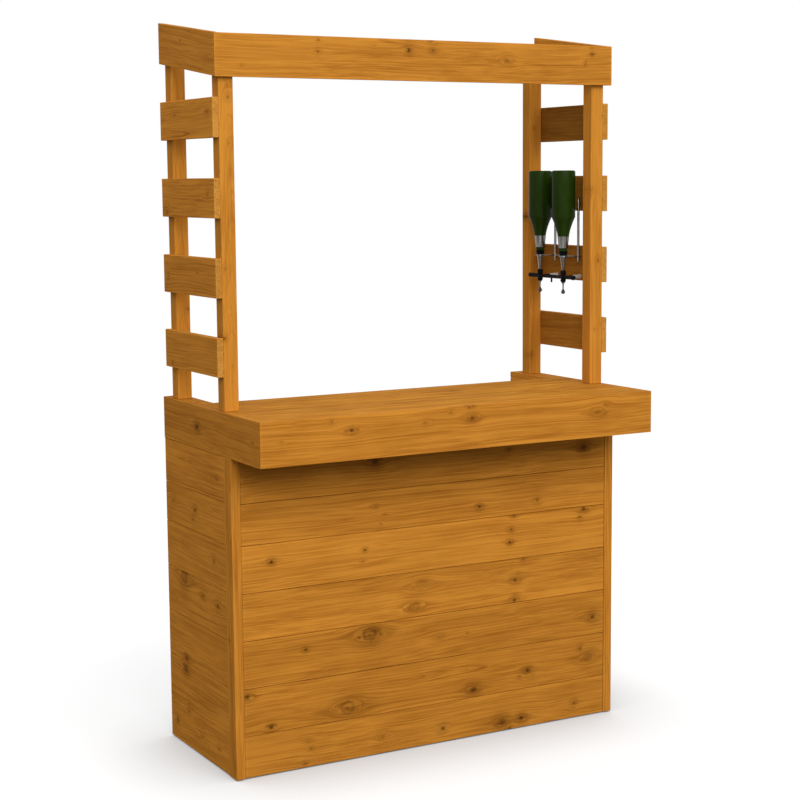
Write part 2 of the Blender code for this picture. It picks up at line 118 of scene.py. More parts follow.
# Knots by growth: two distances on the face, in the order of the part's axes, and a radius.
Spots = dict[Growth, Sequence[Triple]]
FRONT_KNOTS: Spots = {
    Growth.DARK: (
        (-0.529, 0.621, 0.006), (-0.229, 0.622, 0.0045), (-0.217, 0.369, 0.018), (0.162, 0.712, 0.006),
        (0.270, 0.590, 0.0055), (0.543, 0.668, 0.009), (0.288, 0.409, 0.008), (0.579, 0.317, 0.010),
        (-0.425, 0.351, 0.005), (-0.612, 0.240, 0.009), (-0.538, 0.141, 0.008), (0.139, 0.148, 0.011),
        (0.336, 0.180, 0.008), (0.031, 0.045, 0.008), (0.242, 0.030, 0.012), (0.270, 0.006, 0.005),
        (0.313, 0.032, 0.009), (0.542, 0.861, 0.011), (-0.193, 0.879, 0.011),
    ),
    Growth.BROWN: (
        (-0.252, 0.364, 0.006), (-0.180, 0.364, 0.005), (0.371, 0.711, 0.006), (0.285, 0.673, 0.006),
        (0.276, 0.629, 0.0055), (0.530, 0.641, 0.004), (0.290, 0.470, 0.008), (-0.292, 0.160, 0.019),
        (0.534, 0.222, 0.006), (0.561, 0.189, 0.013),
    ),
    Growth.SOFT: (
        (-0.237, 0.590, 0.004), (-0.066, 0.431, 0.015), (0.319, 0.533, 0.005), (-0.413, 0.057, 0.004),
        (0.267, 0.877, 0.007), (-0.316, 0.163, 0.005), (-0.432, 0.016, 0.005), (0.306, 0.163, 0.0045),
        (0.511, 0.049, 0.006),
    ),
    Growth.FAINT: (
        (-0.193, 0.746, 0.005), (-0.163, 0.718, 0.004), (-0.177, 0.695, 0.005), (-0.040, 0.495, 0.014),
        (0.299, 0.490, 0.004), (0.118, 0.325, 0.005), (0.020, 0.328, 0.007), (-0.423, 0.078, 0.005),
        (-0.176, 0.053, 0.008), (0.354, 0.161, 0.0045), (0.115, 0.217, 0.003), (0.509, 0.032, 0.005),
    ),
}
SIDE_KNOTS: Spots = {
    Growth.DARK: ((0.214, 0.522, 0.017), (0.220, 0.242, 0.012)),
    Growth.BROWN: (
        (0.120, 0.738, 0.007), (-0.033, 0.487, 0.009), (0.210, 0.276, 0.008), (0.294, 0.064, 0.008),
    ),
    Growth.SOFT: (
        (0.137, 0.711, 0.006), (0.076, 0.492, 0.007), (-0.010, 0.612, 0.008), (0.200, 0.114, 0.006),
    ),
    Growth.FAINT: (
        (-0.044, 0.855, 0.005), (0.287, 0.743, 0.009), (0.202, 0.138, 0.006), (-0.023, 0.063, 0.007),
    ),
}
FASCIA_KNOTS: Spots = {
    Growth.DARK: ((-0.372, 1.008, 0.006),),
    Growth.BROWN: ((0.015, 1.014, 0.009), (0.006, 1.046, 0.004), (0.018, 1.047, 0.003)),
    Growth.SOFT: (
        (-0.434, 1.036, 0.004), (-0.388, 1.006, 0.004), (-0.355, 1.010, 0.004), (0.000, 1.013, 0.004),
        (0.030, 1.015, 0.004),
    ),
    Growth.FAINT: (
        (-0.140, 1.013, 0.006), (-0.055, 1.036, 0.005), (-0.585, 0.992, 0.003), (0.452, 1.001, 0.011),
        (0.480, 1.022, 0.006),
    ),
}
FASCIA_END_KNOTS: Spots = {Growth.DARK: ((0.087, 0.987, 0.009),), Growth.FAINT: ((-0.298, 0.988, 0.006),)}
DECK_KNOTS: Spots = {Growth.SOFT: ((-0.330, -0.223, 0.006), (0.012, -0.318, 0.005), (0.150, -0.020, 0.006))}
TOP_KNOTS: Spots = {
    Growth.DARK: ((-0.055, 2.057, 0.007),),
    Growth.BROWN: (
        (-0.346, 2.044, 0.005), (0.026, 2.059, 0.006), (0.587, 2.063, 0.004), (0.560, 2.032, 0.003),
    ),
    Growth.SOFT: ((-0.344, 2.078, 0.004), (0.279, 2.036, 0.010), (0.563, 2.041, 0.0025)),
    Growth.FAINT: (
        (-0.579, 2.001, 0.0025), (-0.166, 2.065, 0.003), (0.019, 2.084, 0.006), (0.585, 2.082, 0.003),
    ),
}


# Finishes
@dataclass(frozen=True, eq=False)
class Wire:
    """A value carried from node to node of a material. Arithmetic on it adds Math nodes."""

    bench: "Bench"
    socket: bpy.types.NodeSocket

    def __add__(self, other: Number) -> "Wire":
        """The sum."""
        return self.bench.maths("ADD", self, other)

    __radd__ = __add__

    def __sub__(self, other: Number) -> "Wire":
        """The difference."""
        return self.bench.maths("SUBTRACT", self, other)

    def __rsub__(self, other: Number) -> "Wire":
        """The difference from a number."""
        return self.bench.maths("SUBTRACT", other, self)

    def __mul__(self, other: Number) -> "Wire":
        """The product."""
        return self.bench.maths("MULTIPLY", self, other)

    __rmul__ = __mul__

    def __truediv__(self, other: Number) -> "Wire":
        """The quotient."""
        return self.bench.maths("DIVIDE", self, other)

    def __rtruediv__(self, other: Number) -> "Wire":
        """A number divided by this one."""
        return self.bench.maths("DIVIDE", other, self)

    def __pow__(self, other: Number) -> "Wire":
        """The power."""
        return self.bench.maths("POWER", self, other)

    def least(self, other: Number) -> "Wire":
        """The smaller of two numbers."""
        return self.bench.maths("MINIMUM", self, other)

    def most(self, other: Number) -> "Wire":
        """The larger of two numbers."""
        return self.bench.maths("MAXIMUM", self, other)

    def part(self, name: str) -> "Wire":
        """Another output of the same node."""
        return Wire(self.bench, self.socket.node.outputs[name])


class Bench:
    """A material, or the studio's air, while it is being mixed."""

    def __init__(self, owner: Mixture, shader: str = "Principled BSDF") -> None:
        """Starts with the one shader that a new material or world has.

        Args:
            owner: The new material or world.
            shader: The shader's name.
        """
        self.owner = owner
        self.owner.use_nodes = True
        self.tree = self.owner.node_tree
        self.shader = self.tree.nodes[shader]

    @classmethod
    def material(cls, name: str) -> "Bench":
        """Starts a new material."""
        return cls(bpy.data.materials.new(name))

    def node(
        self, kind: str, settings: dict | None = None, sockets: dict | None = None, out: int | str = 0
    ) -> Wire:
        """Adds a node.

        Args:
            kind: The node's type.
            settings: Its properties, set first.
            sockets: Values or wires by socket name or number.
            out: The output to return.

        Returns:
            The chosen output.
        """
        made = self.tree.nodes.new(kind)
        for key, value in (settings or {}).items():
            setattr(made, key, value)
        for key, value in (sockets or {}).items():
            self.feed(made.inputs[key], value)
        return Wire(self, made.outputs[out])

    def feed(self, socket: bpy.types.NodeSocket, value: object) -> None:
        """Links a wire to a socket, or sets the socket's own value.

        Args:
            socket: An input socket.
            value: A wire, a number or a colour.
        """
        if isinstance(value, Wire):
            self.tree.links.new(value.socket, socket)
        elif isinstance(value, tuple) and socket.type == "RGBA":
            socket.default_value = (*value[:3], 1.0)
        else:
            socket.default_value = value

    def maths(self, operation: str, *values: Number) -> Wire:
        """Adds a Math node."""
        return self.node("ShaderNodeMath", {"operation": operation}, dict(enumerate(values)))

    def vector_maths(self, operation: str, *values: object, out: str = "Vector") -> Wire:
        """Adds a Vector Math node."""
        return self.node("ShaderNodeVectorMath", {"operation": operation}, dict(enumerate(values)), out)

    def attribute(self, name: str, out: str = "Vector") -> Wire:
        """Reads one of the mesh's own attributes."""
        return self.node("ShaderNodeAttribute", {"attribute_name": name}, out=out)

    def place(self) -> Wire:
        """Each point's place in the bar."""
        return self.node("ShaderNodeTexCoord", out="Object")

    def parts(self, vector: Wire) -> tuple[Wire, Wire, Wire]:
        """Takes a vector apart."""
        first = self.node("ShaderNodeSeparateXYZ", None, {0: vector})
        return first, first.part("Y"), first.part("Z")

    def noise(self, vector: Wire, scale: Triple, detail: float = 2.0, out: str = "Fac") -> Wire:
        """Adds noise in three dimensions.

        Args:
            vector: Where the noise is read.
            scale: Its features per metre along each axis.
            detail: Its number of octaves.
            out: "Fac" or "Color".

        Returns:
            The noise, from 0 to 1.
        """
        place = self.vector_maths("MULTIPLY", vector, scale)
        return self.node("ShaderNodeTexNoise", None, {"Vector": place, "Scale": 1.0, "Detail": detail}, out)

    def ease(self, value: Wire, low: float, high: float) -> Wire:
        """A smooth step from 0 at low to 1 at high."""
        sockets = {"Value": value, "From Min": low, "From Max": high}
        return self.node("ShaderNodeMapRange", {"interpolation_type": "SMOOTHSTEP"}, sockets)

    def mix(self, factor: Number, first: object, second: object, blend: str = "MIX") -> Wire:
        """Mixes two colours.

        Args:
            factor: How much of the second.
            first: A colour or wire.
            second: A colour or wire.
            blend: The way of mixing.

        Returns:
            The colour.
        """
        settings = {"data_type": "RGBA", "blend_type": blend, "clamp_factor": True}
        return self.node("ShaderNodeMix", settings, {0: factor, 6: first, 7: second}, out=2)

    def shade(self, colour: Union[Wire, Colour], value: Wire) -> Wire:
        """Makes a colour lighter or darker by a number."""
        return self.node("ShaderNodeVectorMath", {"operation": "SCALE"}, {0: colour, "Scale": value})

    def bump(self, height: Wire, distance: float, strength: float) -> Wire:
        """Turns a height into a surface normal."""
        sockets = {"Height": height, "Distance": distance, "Strength": strength}
        return self.node("ShaderNodeBump", None, sockets, "Normal")

    def seen(self) -> Wire:
        """1 where the eye looks, also by way of metal or glass, and 0 where light bounces."""
        path = self.node("ShaderNodeLightPath", out="Is Camera Ray")
        return path.most(path.part("Is Glossy Ray")).most(path.part("Is Transmission Ray"))

    def finish(self, **sockets: object) -> Mixture:
        """Feeds the shader's sockets.

        Args:
            sockets: Values or wires, named with underscores for spaces.

        Returns:
            The finished material or world.
        """
        for key, value in sockets.items():
            self.feed(self.shader.inputs[key.replace("_", " ")], value)
        return self.owner


@dataclass(frozen=True)
class KnotField:
    """What the knots do to the wood at each point."""

    pushed: Wire
    distance: Wire
    force: Wire
    big: Wire
    wings: Wire


@dataclass(frozen=True)
class StainedPine:
    """Planed pine with a honey-brown stain, whose rings, knots and fibres follow each board."""

    name: str
    pale: Colour = (0.575, 0.232, 0.0285)
    late: Colour = (0.262, 0.079, 0.0062)
    dark: Colour = (0.150, 0.046, 0.0042)
    heart: Colour = (0.045, 0.015, 0.002)
    end_tint: Colour = (0.86, 1.0, 1.45)
    ring_width: float = 0.0085
    ring_depth: float = 0.58
    band_depth: float = 0.16
    streak_depth: float = 0.34
    roughness: float = 0.80
    shine: float = 0.03

    def flow(self, bench: Bench, grain: Wire) -> KnotField:
        """Bends the grain round the knots.

        Args:
            bench: The material.
            grain: Each point's place in its log.

        Returns:
            The knots' effects.
        """
        sway_x, sway_y, _ = bench.parts(bench.noise(grain, (75.0, 120.0, 120.0), 3.0, "Color"))
        pushes, weights, forces, sizes, squares, spreads = [], [], [], [], [], []
        for layer in KNOT_LAYERS:
            spot = bench.attribute(layer, "Color")
            along, across, radius = bench.parts(spot)
            from_x = along + (sway_x - 0.5) * 0.9
            from_y = across + (sway_y - 0.5) * 0.9
            square = from_x * from_x + from_y * from_y
            weight = 1.0 / (square * square + 0.02)
            pushes.append(across * radius * 1.5 / (along * along * 0.30 + across * across).most(1.0))
            squares.append(square)
            weights.append(weight)
            forces.append(weight * spot.part("Alpha"))
            sizes.append(weight * radius)
            spreads.append(from_x * from_x * 0.055 + across * across * 0.75)
        nearest, spread = squares[0], spreads[0]
        for square, wider in zip(squares[1:], spreads[1:]):
            nearest, spread = nearest.least(square), spread.least(wider)
        total = sum(weights)
        return KnotField(
            pushed=sum(pushes),
            distance=nearest ** 0.5,
            force=sum(forces) / total,
            big=bench.ease(sum(sizes) / total, 0.0095, 0.0150),
            wings=1.0 - bench.ease(spread, 0.25, 1.7),
        )

    def rings(self, bench: Bench, grain: Wire, pushed: Wire) -> tuple[Wire, Wire]:
        """The dark summer lines of the year rings.

        Args:
            bench: The material.
            grain: Each point's place in its log.
            pushed: How far the knots push the grain aside.

        Returns:
            The lines, from 0 to 1, and each point's place along the bent grain.
        """
        along, across, depth = bench.parts(grain)
        slow_x, slow_y, slow_z = bench.parts(bench.noise(grain, (1.9, 8.0, 8.0), 2.0, "Color"))
        quick = bench.noise(grain, (9.0, 60.0, 60.0), 2.0)
        aside = across - pushed + (slow_x - 0.5) * 0.028 + (quick - 0.5) * 0.0030
        below = depth + (slow_y - 0.5) * 0.028
        radius = (aside * aside + below * below) ** 0.5
        in_a_row = {"noise_dimensions": "1D"}
        uneven = bench.node("ShaderNodeTexNoise", in_a_row, {"W": radius * 60.0, "Detail": 1.0})
        count = radius / self.ring_width + uneven * 3.0
        year = bench.maths("FRACT", count)
        number = bench.maths("FLOOR", count)
        strength = bench.node("ShaderNodeTexWhiteNoise", in_a_row, {"W": number}, "Value")
        line = year ** 2.6 * (1.0 - bench.ease(year, 0.93, 1.0))
        lines = line * (0.20 + strength * 0.80) * (0.35 + slow_z * 1.3)
        return lines, bench.node("ShaderNodeCombineXYZ", None, {0: along, 1: aside, 2: below})

    def edge(self, bench: Bench) -> tuple[Wire, Wire]:
        """Finds edges and ends.

        Args:
            bench: The material.

        Returns:
            The distance to the nearest edge, and the distance to the nearer end.
        """
        inside = bench.vector_maths("ABSOLUTE", bench.attribute("place"))
        end, rim, skin = bench.parts(bench.vector_maths("SUBTRACT", bench.attribute("half"), inside))
        near = end.least(rim).most(end.most(rim).least(skin))
        return near, end

    def scar(self, bench: Bench, knots: KnotField, blot: Wire) -> Wire:
        """How dark the knots themselves are.

        Args:
            bench: The material.
            knots: The knots' effects.
            blot: Uneven patches, from 0 to 1.

        Returns:
            The darkness, from 0 to 1.
        """
        distance = knots.distance
        dot = 1.0 - bench.ease(distance, 0.25, 1.05)
        rim = bench.ease(distance, 0.50, 0.78) * (1.0 - bench.ease(distance, 0.88, 1.22))
        centre = 1.0 - bench.ease(distance, 0.02, 0.34)
        disc = 1.0 - bench.ease(distance, 0.85, 1.15)
        ringed = (rim * 0.55).most(centre * 0.75).most(disc * 0.22)
        shape = dot + (ringed - dot) * knots.big
        return (shape * knots.force * (0.62 + blot * 0.5)).least(1.0)

    def mixed(self) -> Material:
        """Mixes the finish.

        Returns:
            The material.
        """
        bench = Bench.material(self.name)
        grain = bench.attribute("grain")
        tone, warmth, edge_wear_and_highlight = bench.parts(bench.attribute("tone"))
        knots = self.flow(bench, grain)
        late, followed = self.rings(bench, grain, knots.pushed)
        band = bench.ease(bench.noise(followed, (1.2, 48.0, 48.0), 2.0), 0.34, 0.66)
        streak = bench.ease(bench.noise(followed, (2.4, 230.0, 230.0), 2.0), 0.33, 0.67)
        fibre = bench.noise(followed, (9.0, 620.0, 620.0), 3.0)
        blot = bench.noise(grain, (6.0, 17.0, 17.0), 3.0)
        near, end = self.edge(bench)

        depth = late * self.ring_depth + band * self.band_depth + streak * self.streak_depth
        depth = depth + (blot - 0.5) * 0.62 + (fibre - 0.5) * 0.44 + warmth - 0.05
        wood = bench.mix(depth, self.pale, self.late)
        halo = (1.0 - bench.ease(knots.distance, 0.7, 3.8)) * (0.06 + blot * 0.50 + streak * 0.46)
        smear = knots.wings * (0.20 + streak * 0.50 + late * 0.5) * (0.38 + knots.big * 0.32)
        shaded = bench.mix(halo.most(smear) * knots.force, wood, self.dark)
        knotted = bench.mix(self.scar(bench, knots, blot), shaded, self.heart)

        # Lighter within a few millimetres of the arrises: edge wear together with a painted highlight. On
        # tongued boards the value is negative and darkens the joints instead.
        worn_and_highlit = (1.0 - bench.ease(near, 0.0007, 0.0030)) * (0.35 + blot) * edge_wear_and_highlight
        soft_edge = (1.0 - bench.ease(near, 0.003, 0.013)) * 0.05
        cut_end = 1.0 - bench.ease(end, 0.0004, 0.0012)
        level = 1.0 + tone * (1.0 - cut_end) + worn_and_highlit * 0.20 + soft_edge + cut_end * 0.03
        height = fibre * 0.5 - late * 0.5 - streak * 0.2 + bench.ease(knots.distance, 0.6, 1.3) * 0.5
        sawn = bench.mix(cut_end, knotted, self.end_tint, "MULTIPLY")
        return bench.finish(
            Base_Color=bench.shade(sawn, level),
            Roughness=self.roughness + (fibre - 0.5) * 0.30 - late * 0.08 + cut_end * 0.15,
            Normal=bench.bump(height, 0.0004, 0.5),
            Specular_IOR_Level=self.shine,
        )


@dataclass(frozen=True)
class BottleGlass:
    """Dark green bottle glass with the faint waves of its mould."""

    name: str
    colour: Colour = (0.0135, 0.0315, 0.0018)
    passes: float = 0.08
    roughness: float = 0.22
    shine: float = 0.015

    def mixed(self) -> Material:
        """Mixes the finish.

        Returns:
            The material.
        """
        bench = Bench.material(self.name)
        place = bench.place()
        wave = bench.noise(place, (45.0, 45.0, 18.0), 2.0)
        seed = bench.noise(place, (260.0, 260.0, 260.0), 2.0)
        return bench.finish(
            Base_Color=bench.shade(self.colour, 0.75 + wave * 0.5),
            Roughness=self.roughness + (seed - 0.5) * 0.08,
            Normal=bench.bump(wave + seed * 0.05, 0.0010, 0.35),
            Transmission_Weight=self.passes,
            Specular_IOR_Level=self.shine,
        )


@dataclass(frozen=True)
class Metal:
    """Plated steel or thin foil, brushed or creased along one direction."""

    name: str
    colour: Colour
    roughness: float
    grain: Triple
    depth: float
    contrast: float = 0.9

    def mixed(self) -> Material:
        """Mixes the finish.

        Returns:
            The material.
        """
        bench = Bench.material(self.name)
        place = bench.place()
        crease = bench.noise(place, self.grain, 3.0)
        haze = bench.noise(place, (35.0, 35.0, 35.0), 2.0)
        return bench.finish(
            # Colour streaks along the grain; on the foil they are strong enough to paint the light and dark
            # reflections of its creases.
            Base_Color=bench.shade(self.colour, 1.0 + (crease - 0.5) * self.contrast),
            Roughness=self.roughness + (haze - 0.5) * 0.18 + (crease - 0.5) * 0.10,
            Normal=bench.bump(crease, self.depth, 0.6),
            Metallic=1.0,
        )


@dataclass(frozen=True)
class Moulded:
    """Moulded plastic with a fine skin, clear where light passes through it."""

    name: str
    colour: Colour
    roughness: float
    shine: float
    passes: float = 0.0
    skin: float = 0.00008

    def mixed(self) -> Material:
        """Mixes the finish.

        Returns:
            The material.
        """
        bench = Bench.material(self.name)
        place = bench.place()
        fine = bench.noise(place, (900.0, 900.0, 900.0), 2.0)
        rub = bench.noise(place, (60.0, 60.0, 25.0), 3.0)
        return bench.finish(
            Base_Color=bench.shade(self.colour, 0.85 + rub * 0.3),
            Roughness=self.roughness * (0.7 + rub * 0.6),
            Normal=bench.bump(fine, self.skin, 0.3),
            Transmission_Weight=self.passes,
            Specular_IOR_Level=self.shine,
        )


# Timber
@dataclass(frozen=True)
class Knot:
    """A knot, by its place from the board's middle."""

    along: float
    across: float
    radius: float
    force: float = Growth.SOFT.value


def knots_seen(
    spots: Spots | None, centre: Vector, along: Vector, face: Vector, width: float
) -> list[Knot] | None:
    """Picks the knots that lie on one board.

    Args:
        spots: The knots of a whole face, where the photograph shows it.
        centre: The board's middle.
        along: The board's own direction.
        face: The direction of its face.
        width: Its width.

    Returns:
        The board's knots.
    """
    if spots is None:
        return None
    found = []
    across = face.cross(along)
    right, up = (axis for axis in (X, Y, Z) if abs(axis.dot(face)) < 0.5)
    for growth, places in spots.items():
        for first, second, radius in places:
            offset = right * (first - centre.dot(right)) + up * (second - centre.dot(up))
            if abs(offset.dot(across)) < width / 2:
                found.append(Knot(offset.dot(along), offset.dot(across), radius, growth.value))
    return found


@dataclass
class Stick:
    """One length of pine, drawn along X with its face upwards, and then put in its place.

    A cut is a pair: the end that is sawn, -1 or 1, and the rise of the cut's direction for each metre out.
    """

    length: float
    width: float
    thickness: float
    seed: int
    section: Section = Section.EASED
    tongue: bool = True
    groove: bool = True
    arris: float = 0.0016
    tone: float | None = None
    lean: float = 0.0
    knots: Sequence[Knot] | None = None
    cuts: Sequence[Pair] = ()
    climb: float = 0.0
    step: float = 0.11
    bow: float = 0.00035
    # How strongly the arrises are lightened: edge wear together with a painted highlight.
    rubbed: float = 1.0
    # A tone for the face below; on the right slats' inner faces it is painted shade.
    back_tone: float | None = None

    def shape(self) -> Shape:
        """Cuts the stick.

        Returns:
            Its mesh, with the marks that the finish reads.
        """
        shape = bmesh.new()
        if self.section is Section.TONGUED:
            self.run_profile(shape)
        else:
            bmesh.ops.create_cube(shape, size=1.0)
            bmesh.ops.scale(shape, vec=(self.length, self.width, self.thickness), verts=shape.verts)
        for end, pitch in self.cuts:
            point = Vector((end * self.length / 2, 0, self.thickness / 2))
            saw(shape, point, Vector((end, 0, pitch)).normalized())
        if self.section is Section.EASED:
            ease_arrises(shape, self.arris)
        stations = max(1, round(self.length / self.step))
        for station in range(1, stations):
            place = self.length * (station / stations - 0.5)
            everything = [*shape.verts, *shape.edges, *shape.faces]
            bmesh.ops.bisect_plane(shape, geom=everything, plane_co=(place, 0, 0), plane_no=(1, 0, 0))
        self.mark(shape)
        self.bend(shape)
        return shape

    def run_profile(self, shape: Shape) -> None:
        """Runs a tongued and grooved section along the length.

        Args:
            shape: An empty mesh.
        """
        side = self.width / 2
        face = self.thickness / 2
        chamfer = 0.0007
        tip = 0.0055
        slim = 0.0024
        gap = 0.00065
        play = 0.0003
        points = [(-side + gap, -face), (side - gap, -face)]
        if self.tongue:
            end = side + tip
            points += [(side - gap, -slim), (end, -slim * 0.8), (end, slim * 0.8), (side - gap, slim)]
        points += [(side - gap, face - chamfer), (side - gap - chamfer, face)]
        points += [(-side + gap + chamfer, face), (-side + gap, face - chamfer)]
        if self.groove:
            wide = slim + play
            end = -side + tip + 0.0005
            points += [(-side + gap, wide), (end, wide), (end, -wide), (-side + gap, -wide)]
        start = shape.faces.new([shape.verts.new((-self.length / 2, y, z)) for y, z in points])
        run = bmesh.ops.extrude_face_region(shape, geom=[start])
        moved = [item for item in run["geom"] if isinstance(item, bmesh.types.BMVert)]
        bmesh.ops.translate(shape, vec=(self.length, 0, 0), verts=moved)
        bmesh.ops.recalc_face_normals(shape, faces=shape.faces)

    def mark(self, shape: Shape) -> None:
        """Writes where each point lies in its log, on its board and from its knots.

        Args:
            shape: The stick's mesh.
        """
        chance = random.Random(self.seed)
        knots = list(self.knots) if self.knots is not None else self.grown_knots(chance)
        pith_across = chance.uniform(-0.9, 0.9) * self.width
        pith_below = chance.uniform(0.016, 0.060) * chance.choice((-1, 1))
        lean_across = chance.uniform(-0.012, 0.012)
        lean_below = chance.uniform(0.010, 0.040) * chance.choice((-1, 1))
        start = chance.uniform(0.0, 60.0)
        tone = self.tone if self.tone is not None else chance.uniform(-0.07, 0.07)
        warmth = chance.uniform(-0.03, 0.08)
        # Eased boards get edge wear with a painted arris highlight; tongued boards get darker joints.
        edge_wear_and_highlight = self.rubbed if self.section is Section.EASED else -0.8
        marks = ("grain", "place", "half", "tone")
        grain, place, half, mood = (shape.verts.layers.float_vector.new(name) for name in marks)
        for vert in shape.verts:
            x, y, z = vert.co
            vert[grain] = (start + x, y - pith_across + lean_across * x, z - pith_below + lean_below * x)
            vert[place] = (x, y, z)
            vert[half] = (self.length / 2, self.width / 2, self.thickness / 2)
            # The face below takes its own tone, which on the right slats is painted shade.
            own = self.back_tone if z < 0 and self.back_tone is not None else tone
            vert[mood] = (own + self.lean * y / (self.width / 2), warmth, edge_wear_and_highlight)
        layers = [shape.loops.layers.float_color.new(name) for name in KNOT_LAYERS]
        for facet in shape.faces:
            middle = facet.calc_center_median().x
            near = sorted(knots, key=lambda knot: abs(knot.along - middle))[: len(layers)]
            for corner in facet.loops:
                x, y, _ = corner.vert.co
                for layer, knot in zip(layers, near):
                    from_x = (x - knot.along) / (knot.radius * 1.25)
                    corner[layer] = (from_x, (y - knot.across) / knot.radius, knot.radius, knot.force)
                for layer in layers[len(near):]:
                    corner[layer] = NO_KNOT

    def grown_knots(self, chance: random.Random) -> list[Knot]:
        """Knots where no photograph shows the board.

        Args:
            chance: The board's own source of chance.

        Returns:
            The knots.
        """
        knots = []
        place = -self.length / 2 + chance.uniform(0.03, 0.25)
        while place < self.length / 2 - 0.02:
            across = chance.uniform(-0.48, 0.48) * self.width
            radius = min(chance.choice((0.003, 0.004, 0.005, 0.006, 0.008, 0.012)), self.width / 8)
            knots.append(Knot(place, across, radius, chance.choice((0.2, 0.3, 0.45, 0.7))))
            place += chance.uniform(0.12, 0.40)
        return knots

    def bend(self, shape: Shape) -> None:
        """Gives the stick the slight bow of real timber, and then its climb.

        Args:
            shape: The stick's mesh.
        """
        chance = random.Random(self.seed + 7)
        sideways = chance.uniform(-1, 1) * self.bow
        waves = chance.uniform(1.0, 2.4)
        phase = chance.uniform(0, math.tau)
        for vert in shape.verts:
            share = vert.co.x / self.length + 0.5
            vert.co.y += sideways * math.sin(waves * math.pi * share + phase) * math.sin(math.pi * share)
            vert.co.y += self.climb * vert.co.x


def saw(shape: Shape, point: Vector, outward: Vector) -> None:
    """Cuts a mesh off along a plane and closes the cut.

    Args:
        shape: A closed mesh.
        point: A point on the plane.
        outward: The direction of the waste.
    """
    everything = [*shape.verts, *shape.edges, *shape.faces]
    cut = bmesh.ops.bisect_plane(shape, geom=everything, plane_co=point, plane_no=outward, clear_outer=True)
    edges = [item for item in cut["geom_cut"] if isinstance(item, bmesh.types.BMEdge)]
    bmesh.ops.contextual_create(shape, geom=edges)
    bmesh.ops.recalc_face_normals(shape, faces=shape.faces)


def ease_arrises(shape: Shape, width: float) -> None:
    """Rounds every sharp edge of a mesh.

    Args:
        shape: A closed mesh.
        width: The width of the rounding.
    """
    sharp = [edge for edge in shape.edges if edge.calc_face_angle(0.0) > math.radians(25)]
    bmesh.ops.bevel(
        shape, geom=sharp, offset=width, offset_type="OFFSET", segments=2, profile=0.5, affect="EDGES",
        material=-1, clamp_overlap=True,
    )


def put(shape: Shape, centre: Vector, along: Vector, face: Vector) -> Shape:
    """Moves a shape from its own axes to its place.

    Args:
        shape: A mesh drawn along X with its face upwards.
        centre: Where its origin goes.
        along: Where its X goes.
        face: Where its Z goes.

    Returns:
        The same mesh.
    """
    turned = Matrix((along, face.cross(along), face)).transposed().to_4x4()
    bmesh.ops.transform(shape, matrix=Matrix.Translation(centre) @ turned, verts=shape.verts)
    return shape


@dataclass
class Piece:
    """A finished piece of the bar, made of one or more shapes."""

    name: str
    material: Material
    slot: str
    stands_for: Sequence[str] = ()
    smooth: bool = False

    def fit(self, shapes: Iterable[Shape]) -> None:
        """Joins the shapes and fixes the piece to the bar.

        Args:
            shapes: Meshes in their places. They are used up.
        """
        whole = bmesh.new()
        for shape in shapes:
            part = bpy.data.meshes.new("part")
            shape.to_mesh(part)
            shape.free()
            whole.from_mesh(part)
            bpy.data.meshes.remove(part)
        data = bpy.data.meshes.new(self.name)
        whole.to_mesh(data)
        whole.free()
        data.materials.append(self.material)
        if self.smooth:
            data.shade_smooth()
            data.set_sharp_from_angle(angle=math.radians(38))
        made = bpy.data.objects.new(self.name, data)
        bpy.context.scene.collection.objects.link(made)
        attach(made, BODY)
        if self.stands_for:
            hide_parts(*self.stands_for)
        LOG.info("%s: %d faces", self.name, len(data.polygons))


def middle_of(node: str) -> tuple[Vector, Vector]:
    """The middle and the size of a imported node's box."""
    low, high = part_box(node)
    return (low + high) / 2, high - low


def reach(size: Vector, direction: Vector) -> float:
    """A box's size along an axis."""
    return abs(size.dot(direction))


@dataclass
class Joinery:
    """Timbers, or boards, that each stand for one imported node."""

    pine: Material
    slot: str
    word: str

    def fix(
        self, node: str, along: Vector, face: Vector, seed: int, spots: Spots | None = None, **cut: object
    ) -> None:
        """Cuts a stick to the size of a node and fixes it in its place.

        Args:
            node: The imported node.
            along: The stick's direction.
            face: The direction of its best face.
            seed: The seed of its grain.
            spots: Knots seen in the photograph.
            cut: More of the stick's fields.
        """
        centre, size = middle_of(node)
        width = reach(size, face.cross(along))
        knots = knots_seen(spots, centre, along, face, width)
        fields = {"width": width, "knots": knots, "bow": 0.0 if centre.z < size.z else Stick.bow, **cut}
        stick = Stick(length=reach(size, along), thickness=reach(size, face), seed=seed, **fields)
        shape = put(stick.shape(), centre, along, face)
        Piece(f"{node}_{self.word}", self.pine, self.slot, [node]).fit([shape])


